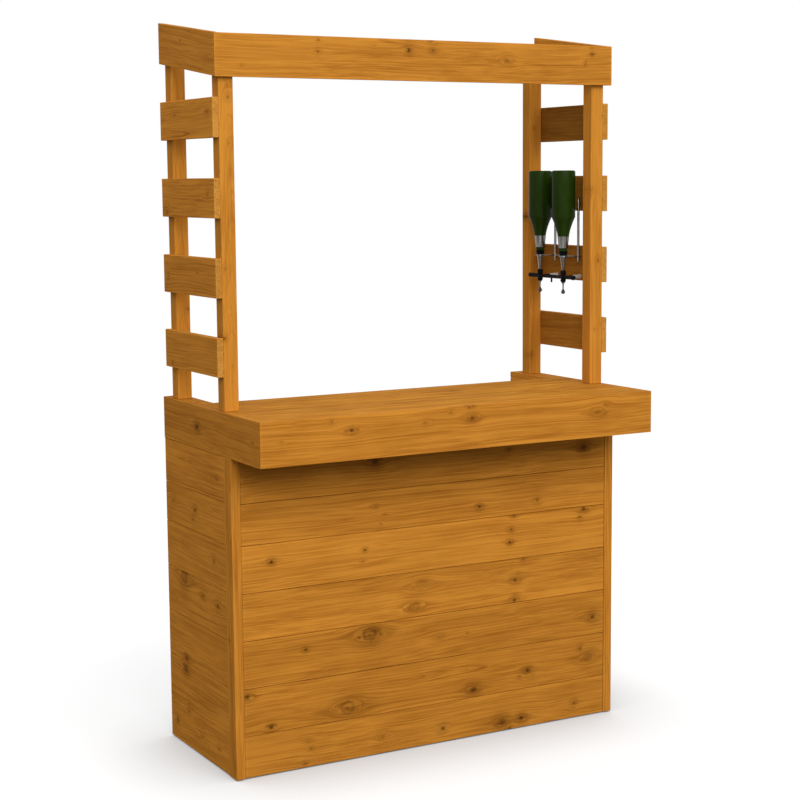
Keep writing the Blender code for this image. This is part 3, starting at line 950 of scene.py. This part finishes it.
# Base
@dataclass
class Boarding:
    """Tongued boards on the front and both sides of the base, with a trim on each front corner."""

    pine: Material
    joints: Sequence[float] = (0.0, 0.124, 0.262, 0.400, 0.537, 0.674, 0.794)
    thickness: float = 0.018
    foot: float = 0.0028
    trim_thickness: float = 0.020
    bead_width: float = 0.0205
    bead_thickness: float = 0.0083
    bead_inset: Pair = (0.02415, 0.0115)
    front_tones: Sequence[Pair] = (
        (-0.03, 0.0), (-0.03, 0.0), (-0.05, 0.0), (0.01, -0.09), (0.04, 0.03), (-0.02, 0.0), (0.0, 0.0),
    )
    left_tones: Sequence[Pair] = (
        (0.10, 0.0), (0.08, 0.0), (0.08, 0.0), (0.06, 0.0), (0.04, 0.0), (0.07, 0.0), (0.07, 0.0),
    )

    def panel(
        self, node: str, along: Vector, face: Vector, seed: int, spots: Spots | None = None,
        tones: Sequence[Pair] | None = None,
    ) -> None:
        """Boards one side of the base.

        Args:
            node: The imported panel.
            along: The direction of its boards.
            face: Its outward direction.
            seed: The seed of its grain.
            spots: Knots seen in the photograph.
            tones: From the lowest board up, how much lighter it is, and how much more at its upper edge.
        """
        centre, size = middle_of(node)
        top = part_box(node)[1].z
        levels = [max(level, self.foot) for level in self.joints if level < top - 0.01] + [top]
        across = face.cross(along)
        upright = across.z > 0
        shapes = []
        for number, (low_z, high_z) in enumerate(zip(levels, levels[1:])):
            middle = Vector((centre.x, centre.y, (low_z + high_z) / 2))
            width = high_z - low_z
            lowest = number == 0
            topmost = number == len(levels) - 2
            tone, lean = (None, 0.0) if tones is None else tones[number]
            stick = Stick(
                reach(size, along), width, self.thickness, seed + number, Section.TONGUED,
                tongue=not (topmost if upright else lowest), groove=not (lowest if upright else topmost),
                knots=knots_seen(spots, middle, along, face, width), tone=tone, lean=lean * across.z,
                bow=0.0 if lowest else Stick.bow,
            )
            shapes.append(put(stick.shape(), middle, along, face))
        Piece(node + "_boards", self.pine, "boarding", [node]).fit(shapes)

    def trim(self, side: Side) -> None:
        """Fixes the corner trim of a side: a flat upright and a narrow bead.

        Args:
            side: The side.
        """
        node = f"corner_trim_{side.word}"
        low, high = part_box(node)
        outer = high.x if side is Side.RIGHT else low.x
        height = high.z - self.foot
        middle = (high.z + self.foot) / 2
        inset_x, inset_y = self.bead_inset
        flat = Stick(
            height, high.y - low.y, self.trim_thickness, 160 + side.value, knots=[Knot(-0.06, 0.008, 0.003)],
            tone=0.03,
        )
        bead = Stick(
            height, self.bead_width, self.bead_thickness, 170 + side.value, knots=[], tone=-0.04, arris=0.0018
        )
        flat_centre = Vector((outer - side.value * self.trim_thickness / 2, (low.y + high.y) / 2, middle))
        bead_centre = Vector((outer - side.value * inset_x, low.y + inset_y, middle))
        shapes = [put(flat.shape(), flat_centre, Z, side.face), put(bead.shape(), bead_centre, Z, side.face)]
        Piece(node + "_timber", self.pine, "boarding", [node]).fit(shapes)

    def build(self) -> None:
        """Boards the base."""
        self.panel("front_panel", X, -Y, 100, FRONT_KNOTS, self.front_tones)
        self.panel("left_side_panel", -Y, -X, 120, SIDE_KNOTS, self.left_tones)
        self.panel("right_side_panel", Y, X, 140)
        for side in Side:
            self.trim(side)


@dataclass
class BaseFrame:
    """Studs, sills and rails behind the boards."""

    timbers: Joinery

    def build(self) -> None:
        """Makes the frame."""
        for number, side in enumerate(Side):
            self.timbers.fix(f"base_stud_front_{side.word}", Z, Y, 200 + number)
            self.timbers.fix(f"base_stud_back_{side.word}", Z, Y, 204 + number)
        for number, node in enumerate(("front_sill", "back_sill")):
            self.timbers.fix(node, X, Y, 210 + number)
        for number, node in enumerate(("front_top_rail", "shelf_rail_front", "shelf_rail_back")):
            self.timbers.fix(node, X, Y, 220 + number)


@dataclass
class Shelf:
    """Boards laid front to back on two rails, cut short beside the studs."""

    pine: Material
    boards: int = 13
    gap: float = 0.0012
    stud: float = 0.0446

    def build(self) -> None:
        """Lays the shelf."""
        low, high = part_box("shelf")
        pitch = (high.x - low.x) / self.boards
        shapes = []
        for number in range(self.boards):
            short = self.stud if number in (0, self.boards - 1) else 0.0
            back, front = high.y - short, low.y + short
            centre = Vector((low.x + (number + 0.5) * pitch, (front + back) / 2, (low.z + high.z) / 2))
            stick = Stick(back - front, pitch - self.gap, high.z - low.z, 300 + number)
            shapes.append(put(stick.shape(), centre, Y, Z))
        Piece("shelf_boards", self.pine, "framing", ["shelf"]).fit(shapes)


# Counter
@dataclass
class Counter:
    """The counter: joists, deck boards, side arms and mitred fascias."""

    boards: Joinery
    timbers: Joinery
    deck_pine: Material
    gap: float = 0.0007
    arris: float = 0.001
    front_tone: float = -0.03
    side_tone: float = -0.08
    deck_tones: Sequence[float] = (0.01, -0.03, 0.02, -0.01)

    def build(self) -> None:
        """Makes the counter."""
        for number, side in enumerate(Side):
            self.timbers.fix(f"counter_side_joist_{side.word}", Y, -side.face, 400 + number)
            self.timbers.fix(f"counter_joist_{side.word}", Y, X, 404 + number)
        self.timbers.fix("counter_rear_rail", X, Y, 408)
        self.deck()
        for number, side in enumerate(Side):
            self.boards.fix(f"counter_arm_{side.word}", Y, Z, 420 + number, arris=self.arris)
            self.boards.fix(
                f"counter_fascia_{side.word}", side.along, side.face, 430 + number,
                FASCIA_END_KNOTS if side is Side.LEFT else None, cuts=side.mitre, tone=self.side_tone,
                rubbed=0.3,
            )
        self.boards.fix(
            "counter_fascia_front", X, -Y, 450, FASCIA_KNOTS, cuts=FRONT_MITRES, tone=self.front_tone,
            arris=self.arris, rubbed=0.1,
        )

    def deck(self) -> None:
        """Lays the deck boards from side to side."""
        low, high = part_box("counter_deck")
        pitch = (high.y - low.y) / len(self.deck_tones)
        shapes = []
        for number, tone in enumerate(self.deck_tones):
            centre = Vector((0, low.y + (number + 0.5) * pitch, (low.z + high.z) / 2))
            stick = Stick(
                high.x - low.x, pitch - self.gap, high.z - low.z, 440 + number, arris=self.arris,
                knots=knots_seen(DECK_KNOTS, centre, X, Z, pitch), tone=tone, rubbed=0.2,
            )
            shapes.append(put(stick.shape(), centre, X, Z))
        Piece("counter_deck_boards", self.deck_pine, "boarding", ["counter_deck"]).fit(shapes)


# Slatted frame
@dataclass
class SlattedFrame:
    """Posts, slats and the top boards above the counter. The posts' heads follow the side boards' climb."""

    boards: Joinery
    timbers: Joinery
    post_tone: float = -0.07
    side_tone: float = 0.02
    front_tone: float = -0.13
    # The right slats' values paint shade onto their inner faces; the left slats' values make their outer
    # faces a little lighter.
    slat_tones_and_painted_shade: Sequence[Sequence[float]] = ((0.0, 0.04, 0.04, 0.10), (-0.34, -0.40, -0.42, -0.54))

    def build(self) -> None:
        """Makes the frame. A slat's tone belongs to its face towards the customers' left, which on the right
        slats is the inner face, where it paints shade.
        """
        low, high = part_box("top_board_left")
        depth = middle_of("top_board_front")[1].z
        climb = (high.z - low.z - depth) / (high.y - low.y)
        for number, side in enumerate(Side):
            for place, seed in (("front", 500), ("rear", 504)):
                self.timbers.fix(
                    f"post_{place}_{side.word}", Z, -Y, seed + number, cuts=[(1, climb)], arris=0.002,
                    tone=self.post_tone, rubbed=0.3,
                )
            for slat, tone in enumerate(self.slat_tones_and_painted_shade[number], 1):
                # On the right slats the tone goes to the inner face, as painted shade.
                outer, inner = (tone, 0.0) if side is Side.LEFT else (0.0, tone)
                self.boards.fix(
                    f"slat_{side.word}_{slat}", side.along, side.face, 510 + 10 * number + slat,
                    tone=outer, back_tone=inner,
                )
            self.boards.fix(
                f"top_board_{side.word}", side.along, side.face, 540 + number, width=depth, cuts=side.mitre,
                climb=climb * side.along.y, tone=self.side_tone,
            )
        self.boards.fix("top_board_front", X, -Y, 560, TOP_KNOTS, cuts=FRONT_MITRES, tone=self.front_tone)


# Turned shapes
def arc(middle: Pair, radius: float, first: float, last: float, steps: int) -> list[Pair]:
    """Points of a profile on an arc.

    Args:
        middle: The arc's middle.
        radius: Its radius.
        first: The angle of its first point, in degrees.
        last: The angle of its last point.
        steps: The number of its chords.

    Returns:
        The points.
    """
    angles = [math.radians(first + (last - first) * step / steps) for step in range(steps + 1)]
    return [(middle[0] + radius * math.cos(angle), middle[1] + radius * math.sin(angle)) for angle in angles]


def lift(profile: Iterable[Pair], level: float) -> list[Pair]:
    """Raises a profile to a level."""
    return [(radius, level + height) for radius, height in profile]


def turn(profile: Profile, steps: int = 32, ring: bool = False, axis: Pair = (0.0, 0.0)) -> Shape:
    """Turns a profile round an upright axis.

    Args:
        profile: Pairs of a radius and a height. It starts and ends on the axis unless it is a ring.
        steps: The number of facets round the axis.
        ring: Whether the profile closes on itself.
        axis: Where the axis stands.

    Returns:
        The closed shape.
    """
    shape = bmesh.new()
    points = [shape.verts.new((radius, 0.0, height)) for radius, height in profile]
    pairs = list(zip(points, points[1:])) + ([(points[-1], points[0])] if ring else [])
    edges = [shape.edges.new(pair) for pair in pairs]
    bmesh.ops.spin(
        shape, geom=[*points, *edges], cent=(0, 0, 0), axis=(0, 0, 1), angle=math.tau, steps=steps,
        use_merge=True,
    )
    bmesh.ops.remove_doubles(shape, verts=shape.verts, dist=0.00001)
    bmesh.ops.recalc_face_normals(shape, faces=shape.faces)
    bmesh.ops.translate(shape, vec=(*axis, 0.0), verts=shape.verts)
    return shape


def rod(start: Vector, direction: Vector, profile: Profile, steps: int = 24) -> Shape:
    """Turns a rod.

    Args:
        start: Its first end.
        direction: Where it points.
        profile: Pairs of a radius and a distance from the first end.
        steps: The number of facets round it.

    Returns:
        The closed shape.
    """
    shape = turn([(0.0, profile[0][1]), *profile, (0.0, profile[-1][1])], steps)
    turned = Z.rotation_difference(direction).to_matrix().to_4x4()
    bmesh.ops.transform(shape, matrix=Matrix.Translation(start) @ turned, verts=shape.verts)
    return shape


def wire(start: Vector, direction: Vector, radius: float, length: float, steps: int) -> Shape:
    """A plain round rod."""
    return rod(start, direction, [(radius, 0.0), (radius, length)], steps)


def capsule(radius: float, length: float, rounding: float) -> list[Pair]:
    """The profile of a rod with rounded ends."""
    inner = radius - rounding
    return arc((inner, rounding), rounding, -90, 0, 4) + arc((inner, length - rounding), rounding, 0, 90, 4)


def upright_through(node: str) -> Pair:
    """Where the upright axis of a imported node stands."""
    low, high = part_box(node)
    return (low.x + high.x) / 2, (low.y + high.y) / 2


# Optic
PLACES = ("front", "rear")
# A measure's profiles, each with heights from the level where the measure puts it
STOPPER: Profile = ((0.0, 0.0), (0.0085, 0.0), (0.0098, -0.003))
COLLAR: Profile = (
    (0.0098, 0.0005), (0.0128, -0.0004), (0.0142, -0.0014), (0.0138, -0.0050), (0.0118, -0.0076),
    (0.0112, -0.0100),
)
COLLAR_FOOT: Profile = ((0.0122, 0.0016), (0.0120, 0.0008), (0.0, 0.0008))
WASHER: Profile = (
    (0.0, 0.0004), (0.0138, 0.0004), (0.0144, -0.0004), (0.0144, -0.0018), (0.0138, -0.0026),
    (0.0104, -0.0028), (0.0100, -0.0052), (0.0, -0.0052),
)
NUT: Profile = (
    (0.0, -0.0002), (0.0042, -0.0002), (0.0044, -0.0010), (0.0042, -0.0030), (0.0030, -0.0044),
    (0.0024, -0.0056),
)
STEM: Profile = ((0.0021, 0.0120), (0.0, 0.0120))
TAP: Profile = (
    (0.0, 0.0180), (0.0022, 0.0168), (0.0030, 0.0140), (0.0052, 0.0100),
    *arc((0.0, 0.0066), 0.0064, 24, -80, 8), (0.0, 0.0002),
)


@dataclass
class Optic:
    """Two upturned bottles on the right-hand slats, each with a measure, on a rack of rods and a bar."""

    glass: Material
    foil: Material
    plated: Material
    steel: Material
    clear: Material
    black: Material
    gloss: Material
    grey: Material
    wall: float = 0.003
    corner: float = 0.006
    shoulder: float = 0.145
    shoulder_chords: int = 14
    neck_depth: float = 0.2075
    neck: float = 0.018
    lip: float = 0.0138
    lip_drop: float = 0.0085
    foil_length: float = 0.0365
    pleats: int = 40
    pleat_depth: float = 0.016
    washer_drop: float = 0.022
    chamber_drop: float = 0.028
    chamber_wall: float = 0.001
    bar_height: float = 1.380
    bar_radius: float = 0.0066
    waist: float = 0.0050
    knob: float = 0.0074
    arm: float = 0.0046
    sleeve: float = 0.0088
    socket: float = 0.0072
    socket_ends: Pair = (0.021, 0.017)
    foot_x: float = 0.6130
    rod_x: float = 0.634
    rod_radius: float = 0.0042
    rod_foot: float = 0.0024
    wire_radius: float = 0.0016

    def build(self) -> None:
        """Makes both bottles, their measures and what carries them."""
        for place in PLACES:
            self.bottle(place)
            self.wrap(place)
            self.measure(place)
        self.rack()
        self.bar()

    def flank(self, body: float, base: float, foot: float, wall: float) -> list[Pair]:
        """Half of a bottle's outline, from the middle of its base to its lip.

        Args:
            body: The body's radius.
            base: The height of the base.
            foot: The height of the lip.
            wall: How far the outline lies inside the glass's outer face.

        Returns:
            The profile.
        """
        corner = self.corner - wall / 2
        top = base - wall
        points = [(0.0, top - 0.004), (body * 0.45, top - 0.0035), (body * 0.68, top - 0.0012)]
        points += arc((body - wall - corner, top - corner), corner, 90, 0, 6)
        for chord in range(self.shoulder_chords + 1):
            share = chord / self.shoulder_chords
            radius = self.neck + (body - self.neck) * (1 - share) ** 1.5 - wall
            points.append((radius, base - self.shoulder - share * (self.neck_depth - self.shoulder)))
        return [*points, (self.lip - 0.0006 - wall, foot + 0.0075)]

    def bottle(self, place: str) -> None:
        """Blows a bottle that hangs neck down, with a bead round its lip.

        Args:
            place: Which bottle.
        """
        node = f"bottle_{place}"
        low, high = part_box(node)
        body = (high.x - low.x) / 2
        foot = low.z - self.lip_drop
        outer = self.flank(body, high.z, foot, 0.0)
        bead = arc((self.lip - 0.0022, foot + 0.0035), 0.0026, 70, -80, 8)
        inner = self.flank(body, high.z, foot, self.wall)
        profile = [*outer, *bead, (self.lip - self.wall, foot + 0.0009), *reversed(inner)]
        shape = turn(profile, 56, axis=upright_through(node))
        Piece(node + "_glass", self.glass, "bottle_glass", [node], smooth=True).fit([shape])

    def wrap(self, place: str) -> None:
        """Wraps pleated foil round a bottle's neck.

        Args:
            place: Which bottle.
        """
        node = f"bottle_{place}"
        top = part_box(node)[1].z - self.neck_depth + 0.0015
        bottom = top - self.foil_length
        upper, lower = self.neck + 0.0004, self.lip + 0.0007
        profile = [(upper, top), (upper - 0.0002, top - 0.003)]
        profile += [(lower + 0.0003, bottom + 0.006), (lower, bottom), (lower - 0.0006, bottom)]
        profile += [(lower - 0.0003, bottom + 0.006), (upper - 0.0008, top - 0.003), (upper - 0.0006, top)]
        shape = turn(profile, self.pleats * 4, ring=True)
        for vert in shape.verts:
            angle = math.atan2(vert.co.y, vert.co.x)
            depth = (top - vert.co.z) / self.foil_length
            fold = 1 + self.pleat_depth * depth * math.sin(angle * self.pleats + 1.5 * math.sin(angle * 3))
            vert.co.x *= fold
            vert.co.y *= fold
        bmesh.ops.translate(shape, vec=(*upright_through(node), 0.0), verts=shape.verts)
        Piece(node + "_foil", self.foil, "optic_metal", smooth=True).fit([shape])

    def measure(self, place: str) -> None:
        """Makes a measure: a black collar, a plated washer, a clear chamber, a socket and a sprung tap.

        Args:
            place: Which measure.
        """
        node = f"measure_{place}"
        low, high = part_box(node)
        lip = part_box(f"bottle_{place}")[0].z
        washer = lip - self.washer_drop
        chamber = lip - self.chamber_drop
        top, under = self.bar_height + self.socket_ends[0], self.bar_height - self.socket_ends[1]
        axis = upright_through(node)

        collar = lift(STOPPER, high.z) + lift(COLLAR, lip - self.lip_drop) + lift(COLLAR_FOOT, washer)
        Piece(f"{node}_collar", self.black, "optic_plastic", smooth=True).fit([turn(collar, axis=axis)])

        plating = (lift(WASHER, washer), lift(NUT, under) + lift(STEM, low.z))
        shapes = [turn(profile, axis=axis) for profile in plating]
        Piece(f"{node}_plating", self.plated, "optic_metal", [node], smooth=True).fit(shapes)

        brim = chamber + 0.0004
        outside = [(0.0096, brim), (0.0090, chamber - 0.006), (0.0062, top + 0.009), (0.0056, top)]
        inside = [(radius - self.chamber_wall, height) for radius, height in reversed(outside)]
        tube = [(0.0018, brim), (0.0018, top), (0.0011, top), (0.0011, brim)]
        walls = [turn(profile, ring=True, axis=axis) for profile in ([*outside, *inside], tube)]
        Piece(f"{node}_chamber", self.clear, "bottle_glass", smooth=True).fit(walls)

        soft = 0.0012
        socket = [(0.0, top), *arc((self.socket - soft, top - soft), soft, 90, 0, 3)]
        socket += [*arc((self.socket - soft, under + soft), soft, 0, -90, 3), (0.0, under)]
        Piece(f"{node}_socket", self.black, "optic_plastic", smooth=True).fit([turn(socket, axis=axis)])
        tap = turn(lift(TAP, low.z), axis=axis)
        Piece(f"{node}_tap", self.gloss, "optic_plastic", smooth=True).fit([tap])

    def rack(self) -> None:
        """Bends the rack: two upright rods with feet in the slats, a tie, and an arm to each washer."""
        low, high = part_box("optic_rack")
        radius = self.rod_radius
        length = high.z - low.z
        arm_height = low.z + 0.0185
        profile = [*arc((0.0020, 0.0010), 0.0010, -90, 0, 3), (0.0032, 0.012), (radius, 0.020)]
        profile += arc((radius - 0.002, length - 0.002), 0.002, 0, 90, 4)
        ys = (low.y + radius, high.y - radius)
        shapes = []
        for y in ys:
            shapes.append(rod(Vector((self.rod_x, y, low.z)), Z, profile))
            for height in (arm_height, high.z - 0.016):
                foot = Vector((self.rod_x, y, height))
                shapes.append(wire(foot, X, self.rod_foot, high.x - self.rod_x, 16))
            shapes.append(wire(Vector((low.x, y, arm_height)), X, self.wire_radius, self.rod_x - low.x, 12))
        tie = Vector((self.rod_x, ys[0], arm_height))
        shapes.append(wire(tie, Y, self.wire_radius, ys[1] - ys[0], 12))
        Piece("optic_rack_rods", self.steel, "optic_metal", ["optic_rack"], smooth=True).fit(shapes)

    def bar(self) -> None:
        """Moulds the bar with its sleeves, arms and peg, and the pale feet that are fixed to the slat."""
        low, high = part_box("optic_bar")
        radius, waist, knob = self.bar_radius, self.waist, self.knob
        x = low.x + self.sleeve
        height = self.bar_height
        length = high.y - low.y
        ys = [upright_through(f"measure_{place}")[1] for place in PLACES]
        first, second = (y - low.y for y in ys)
        ends = capsule(knob, length, 0.005)
        slim = [(knob, 0.011), (waist, 0.019), (waist, first - 0.016), (radius, first - 0.006)]
        slim += [(radius, first + 0.006), (waist, first + 0.016), (waist, second - 0.012)]
        slim += [(radius, second - 0.004), (radius, length - 0.010)]
        shapes = [rod(Vector((x, low.y, height)), Y, [*ends[:5], *slim, *ends[5:]], 32)]
        feet = []
        span = high.x - self.foot_x
        flare = [(0.0052, 0.0), (0.0056, 0.002), (0.0060, 0.012), (0.0075, span - 0.003), (0.0075, span)]
        for y in ys:
            for bottom, tall in ((height + 0.0070, 0.0130), (height - 0.0133, 0.0063)):
                shapes.append(rod(Vector((x, y, bottom)), Z, capsule(self.sleeve, tall, 0.0014), 28))
            shapes.append(wire(Vector((x, y, height)), X, self.arm, 0.040, 20))
            feet.append(rod(Vector((self.foot_x, y, height)), X, flare, 28))
        peg = Vector((x, (low.y + high.y) / 2, height - 0.019))
        shapes.append(rod(peg, Z, capsule(0.0028, 0.014, 0.001), 20))
        Piece("optic_bar_moulding", self.black, "optic_plastic", ["optic_bar"], smooth=True).fit(shapes)
        Piece("optic_bar_feet", self.grey, "optic_plastic", smooth=True).fit(feet)


# Studio
@dataclass
class Studio:
    """The floor, the light and the camera."""

    picture: float = 800.0
    focal: float = 1748.995
    sensor: float = 36.0
    eye: Triple = (-2.570357, -4.550843, 1.687358)
    yaw: float = 29.183
    pitch: float = 7.161
    roll: float = -0.449
    sky: float = 0.76
    key: float = 325.0
    key_place: Triple = (-0.72, -5.15, 4.0)
    key_aim: Triple = (0.0, 0.0, 1.0)
    key_size: Pair = (6.5, 3.5)
    floor_radius: float = 14.0
    floor_drop: float = 0.0004
    floor_grey: float = 0.08
    floor_white: float = 0.36
    floor_glow: float = 0.64
    # How far the painted contact shadow reaches from the bar.
    painted_shadow_reach: float = 0.34
    # Painted light: the floor's glow rises with distance from the bar, where the lamp gives less.
    far_glow: float = 0.13
    far: Pair = (0.7, 1.8)

    def build(self) -> None:
        """Sets up the studio."""
        self.view()
        self.floor()
        self.air()
        self.lamp()

    def view(self) -> None:
        """Places the camera."""
        yaw, pitch, roll = (math.radians(angle) for angle in (self.yaw, self.pitch, self.roll))
        ahead = Vector((math.sin(yaw) * math.cos(pitch), math.cos(yaw) * math.cos(pitch), -math.sin(pitch)))
        level = Vector((math.cos(yaw), -math.sin(yaw), 0.0))
        over = level.cross(ahead)
        right = math.cos(roll) * level + math.sin(roll) * over
        up = -math.sin(roll) * level + math.cos(roll) * over
        lens = bpy.data.cameras.new("camera")
        lens.sensor_width = self.sensor
        lens.lens = self.focal * self.sensor / self.picture
        lens.clip_end = 100.0
        camera = bpy.data.objects.new("camera", lens)
        turned = Matrix((right, up, -ahead)).transposed().to_4x4()
        camera.matrix_world = Matrix.Translation(Vector(self.eye)) @ turned
        bpy.context.scene.collection.objects.link(camera)
        bpy.context.scene.camera = camera

    def floor(self) -> None:
        """Lays a white floor that keeps the bar's shadow, with a painted contact shadow added near the bar.
        """
        shape = bmesh.new()
        bmesh.ops.create_circle(shape, cap_ends=True, segments=64, radius=self.floor_radius)
        data = bpy.data.meshes.new("floor")
        shape.to_mesh(data)
        shape.free()
        floor = bpy.data.objects.new("floor", data)
        floor.location = (0.0, 0.0, -self.floor_drop)
        bpy.context.scene.collection.objects.link(floor)
        data.materials.append(self.paving())

    def paving(self) -> Material:
        """Mixes the floor's finish: white to the eye, with the bar's real shadow, a painted contact shadow
        and painted light that brightens it away from the bar, and grey to what it lights.

        Returns:
            The material.
        """
        bench = Bench.material("studio_floor")
        settings = {"samples": 16}
        # Ambient occlusion darkens the floor's glow near the bar: a painted contact shadow.
        openness_for_painted_shadow = bench.node("ShaderNodeAmbientOcclusion", settings, {"Distance": self.painted_shadow_reach}, "AO")
        away = bench.vector_maths("LENGTH", bench.place(), out="Value")
        # The glow is darkened by painted shadow near the bar and raised by painted light away from it.
        glow_with_painted_shadow = 0.1 + openness_for_painted_shadow * 0.9 + bench.ease(away, *self.far) * self.far_glow
        white = bench.node(
            "ShaderNodeBsdfPrincipled", None,
            {"Base Color": (self.floor_white,) * 3, "Roughness": 1.0, "Specular IOR Level": 0.0,
             "Emission Color": bench.shade(WHITE, glow_with_painted_shadow), "Emission Strength": self.floor_glow},
            "BSDF",
        )
        bench.finish(Base_Color=(self.floor_grey,) * 3, Roughness=1.0, Specular_IOR_Level=0.0)
        plain = Wire(bench, bench.shader.outputs["BSDF"])
        mixed = bench.node("ShaderNodeMixShader", None, {0: bench.seen(), 1: plain, 2: white})
        bench.feed(bench.tree.nodes["Material Output"].inputs["Surface"], mixed)
        return bench.owner

    def air(self) -> None:
        """Fills the studio with even light, in front of a white background."""
        bench = Bench(bpy.data.worlds.new("studio"), "Background")
        level = self.sky + bench.seen() * (1.0 - self.sky)
        bpy.context.scene.world = bench.finish(Color=WHITE, Strength=level)

    def lamp(self) -> None:
        """Hangs a wide soft box in front of the bar."""
        light = bpy.data.lights.new("front_light", "AREA")
        light.shape = "RECTANGLE"
        light.size, light.size_y = self.key_size
        light.energy = self.key
        lamp = bpy.data.objects.new("front_light", light)
        lamp.location = self.key_place
        aim = Vector(self.key_aim) - Vector(self.key_place)
        lamp.rotation_euler = aim.to_track_quat("-Z", "Y").to_euler()
        bpy.context.scene.collection.objects.link(lamp)


def main() -> None:
    """Builds the studio and dresses the bar."""
    logging.basicConfig(level=logging.INFO, format="%(name)s: %(message)s")
    bpy.context.scene.view_settings.view_transform = "Standard"
    Studio().build()
    boarding = StainedPine("stained_boarding").mixed()
    framing = StainedPine(
        "stained_framing", ring_width=0.0050, ring_depth=0.40, band_depth=0.12, streak_depth=0.26
    ).mixed()
    deck = StainedPine(
        "stained_deck", pale=(0.620, 0.272, 0.027), ring_depth=0.72, band_depth=0.22, streak_depth=0.50
    ).mixed()
    timbers = Joinery(framing, "framing", "timber")
    boards = Joinery(boarding, "boarding", "board")
    BaseFrame(timbers).build()
    Boarding(boarding).build()
    Shelf(framing).build()
    Counter(boards, timbers, deck).build()
    SlattedFrame(boards, timbers).build()
    brushed = (40.0, 40.0, 400.0)
    pleated = (190.0, 190.0, 6.0)
    Optic(
        glass=BottleGlass("bottle_green").mixed(),
        # The foil's strong colour banding is painted reflection in its creases.
        foil=Metal("silver_foil", (0.17, 0.17, 0.155), 0.26, pleated, 0.0005, contrast=2.6).mixed(),
        plated=Metal("bright_plate", (0.17, 0.17, 0.175), 0.20, brushed, 0.0001).mixed(),
        steel=Metal("bright_rod", (0.25, 0.245, 0.225), 0.20, brushed, 0.0001).mixed(),
        clear=Moulded("clear_moulding", (0.50, 0.43, 0.33), 0.05, 0.30, passes=0.96, skin=0.00001).mixed(),
        black=Moulded("black_moulding", (0.004, 0.004, 0.004), 0.40, 0.03).mixed(),
        gloss=Moulded("black_gloss", (0.006, 0.006, 0.006), 0.16, 0.60).mixed(),
        grey=Moulded("pale_grey_moulding", (0.50, 0.48, 0.43), 0.40, 0.20).mixed(),
    ).build()


if __name__ == "__main__":
    main()
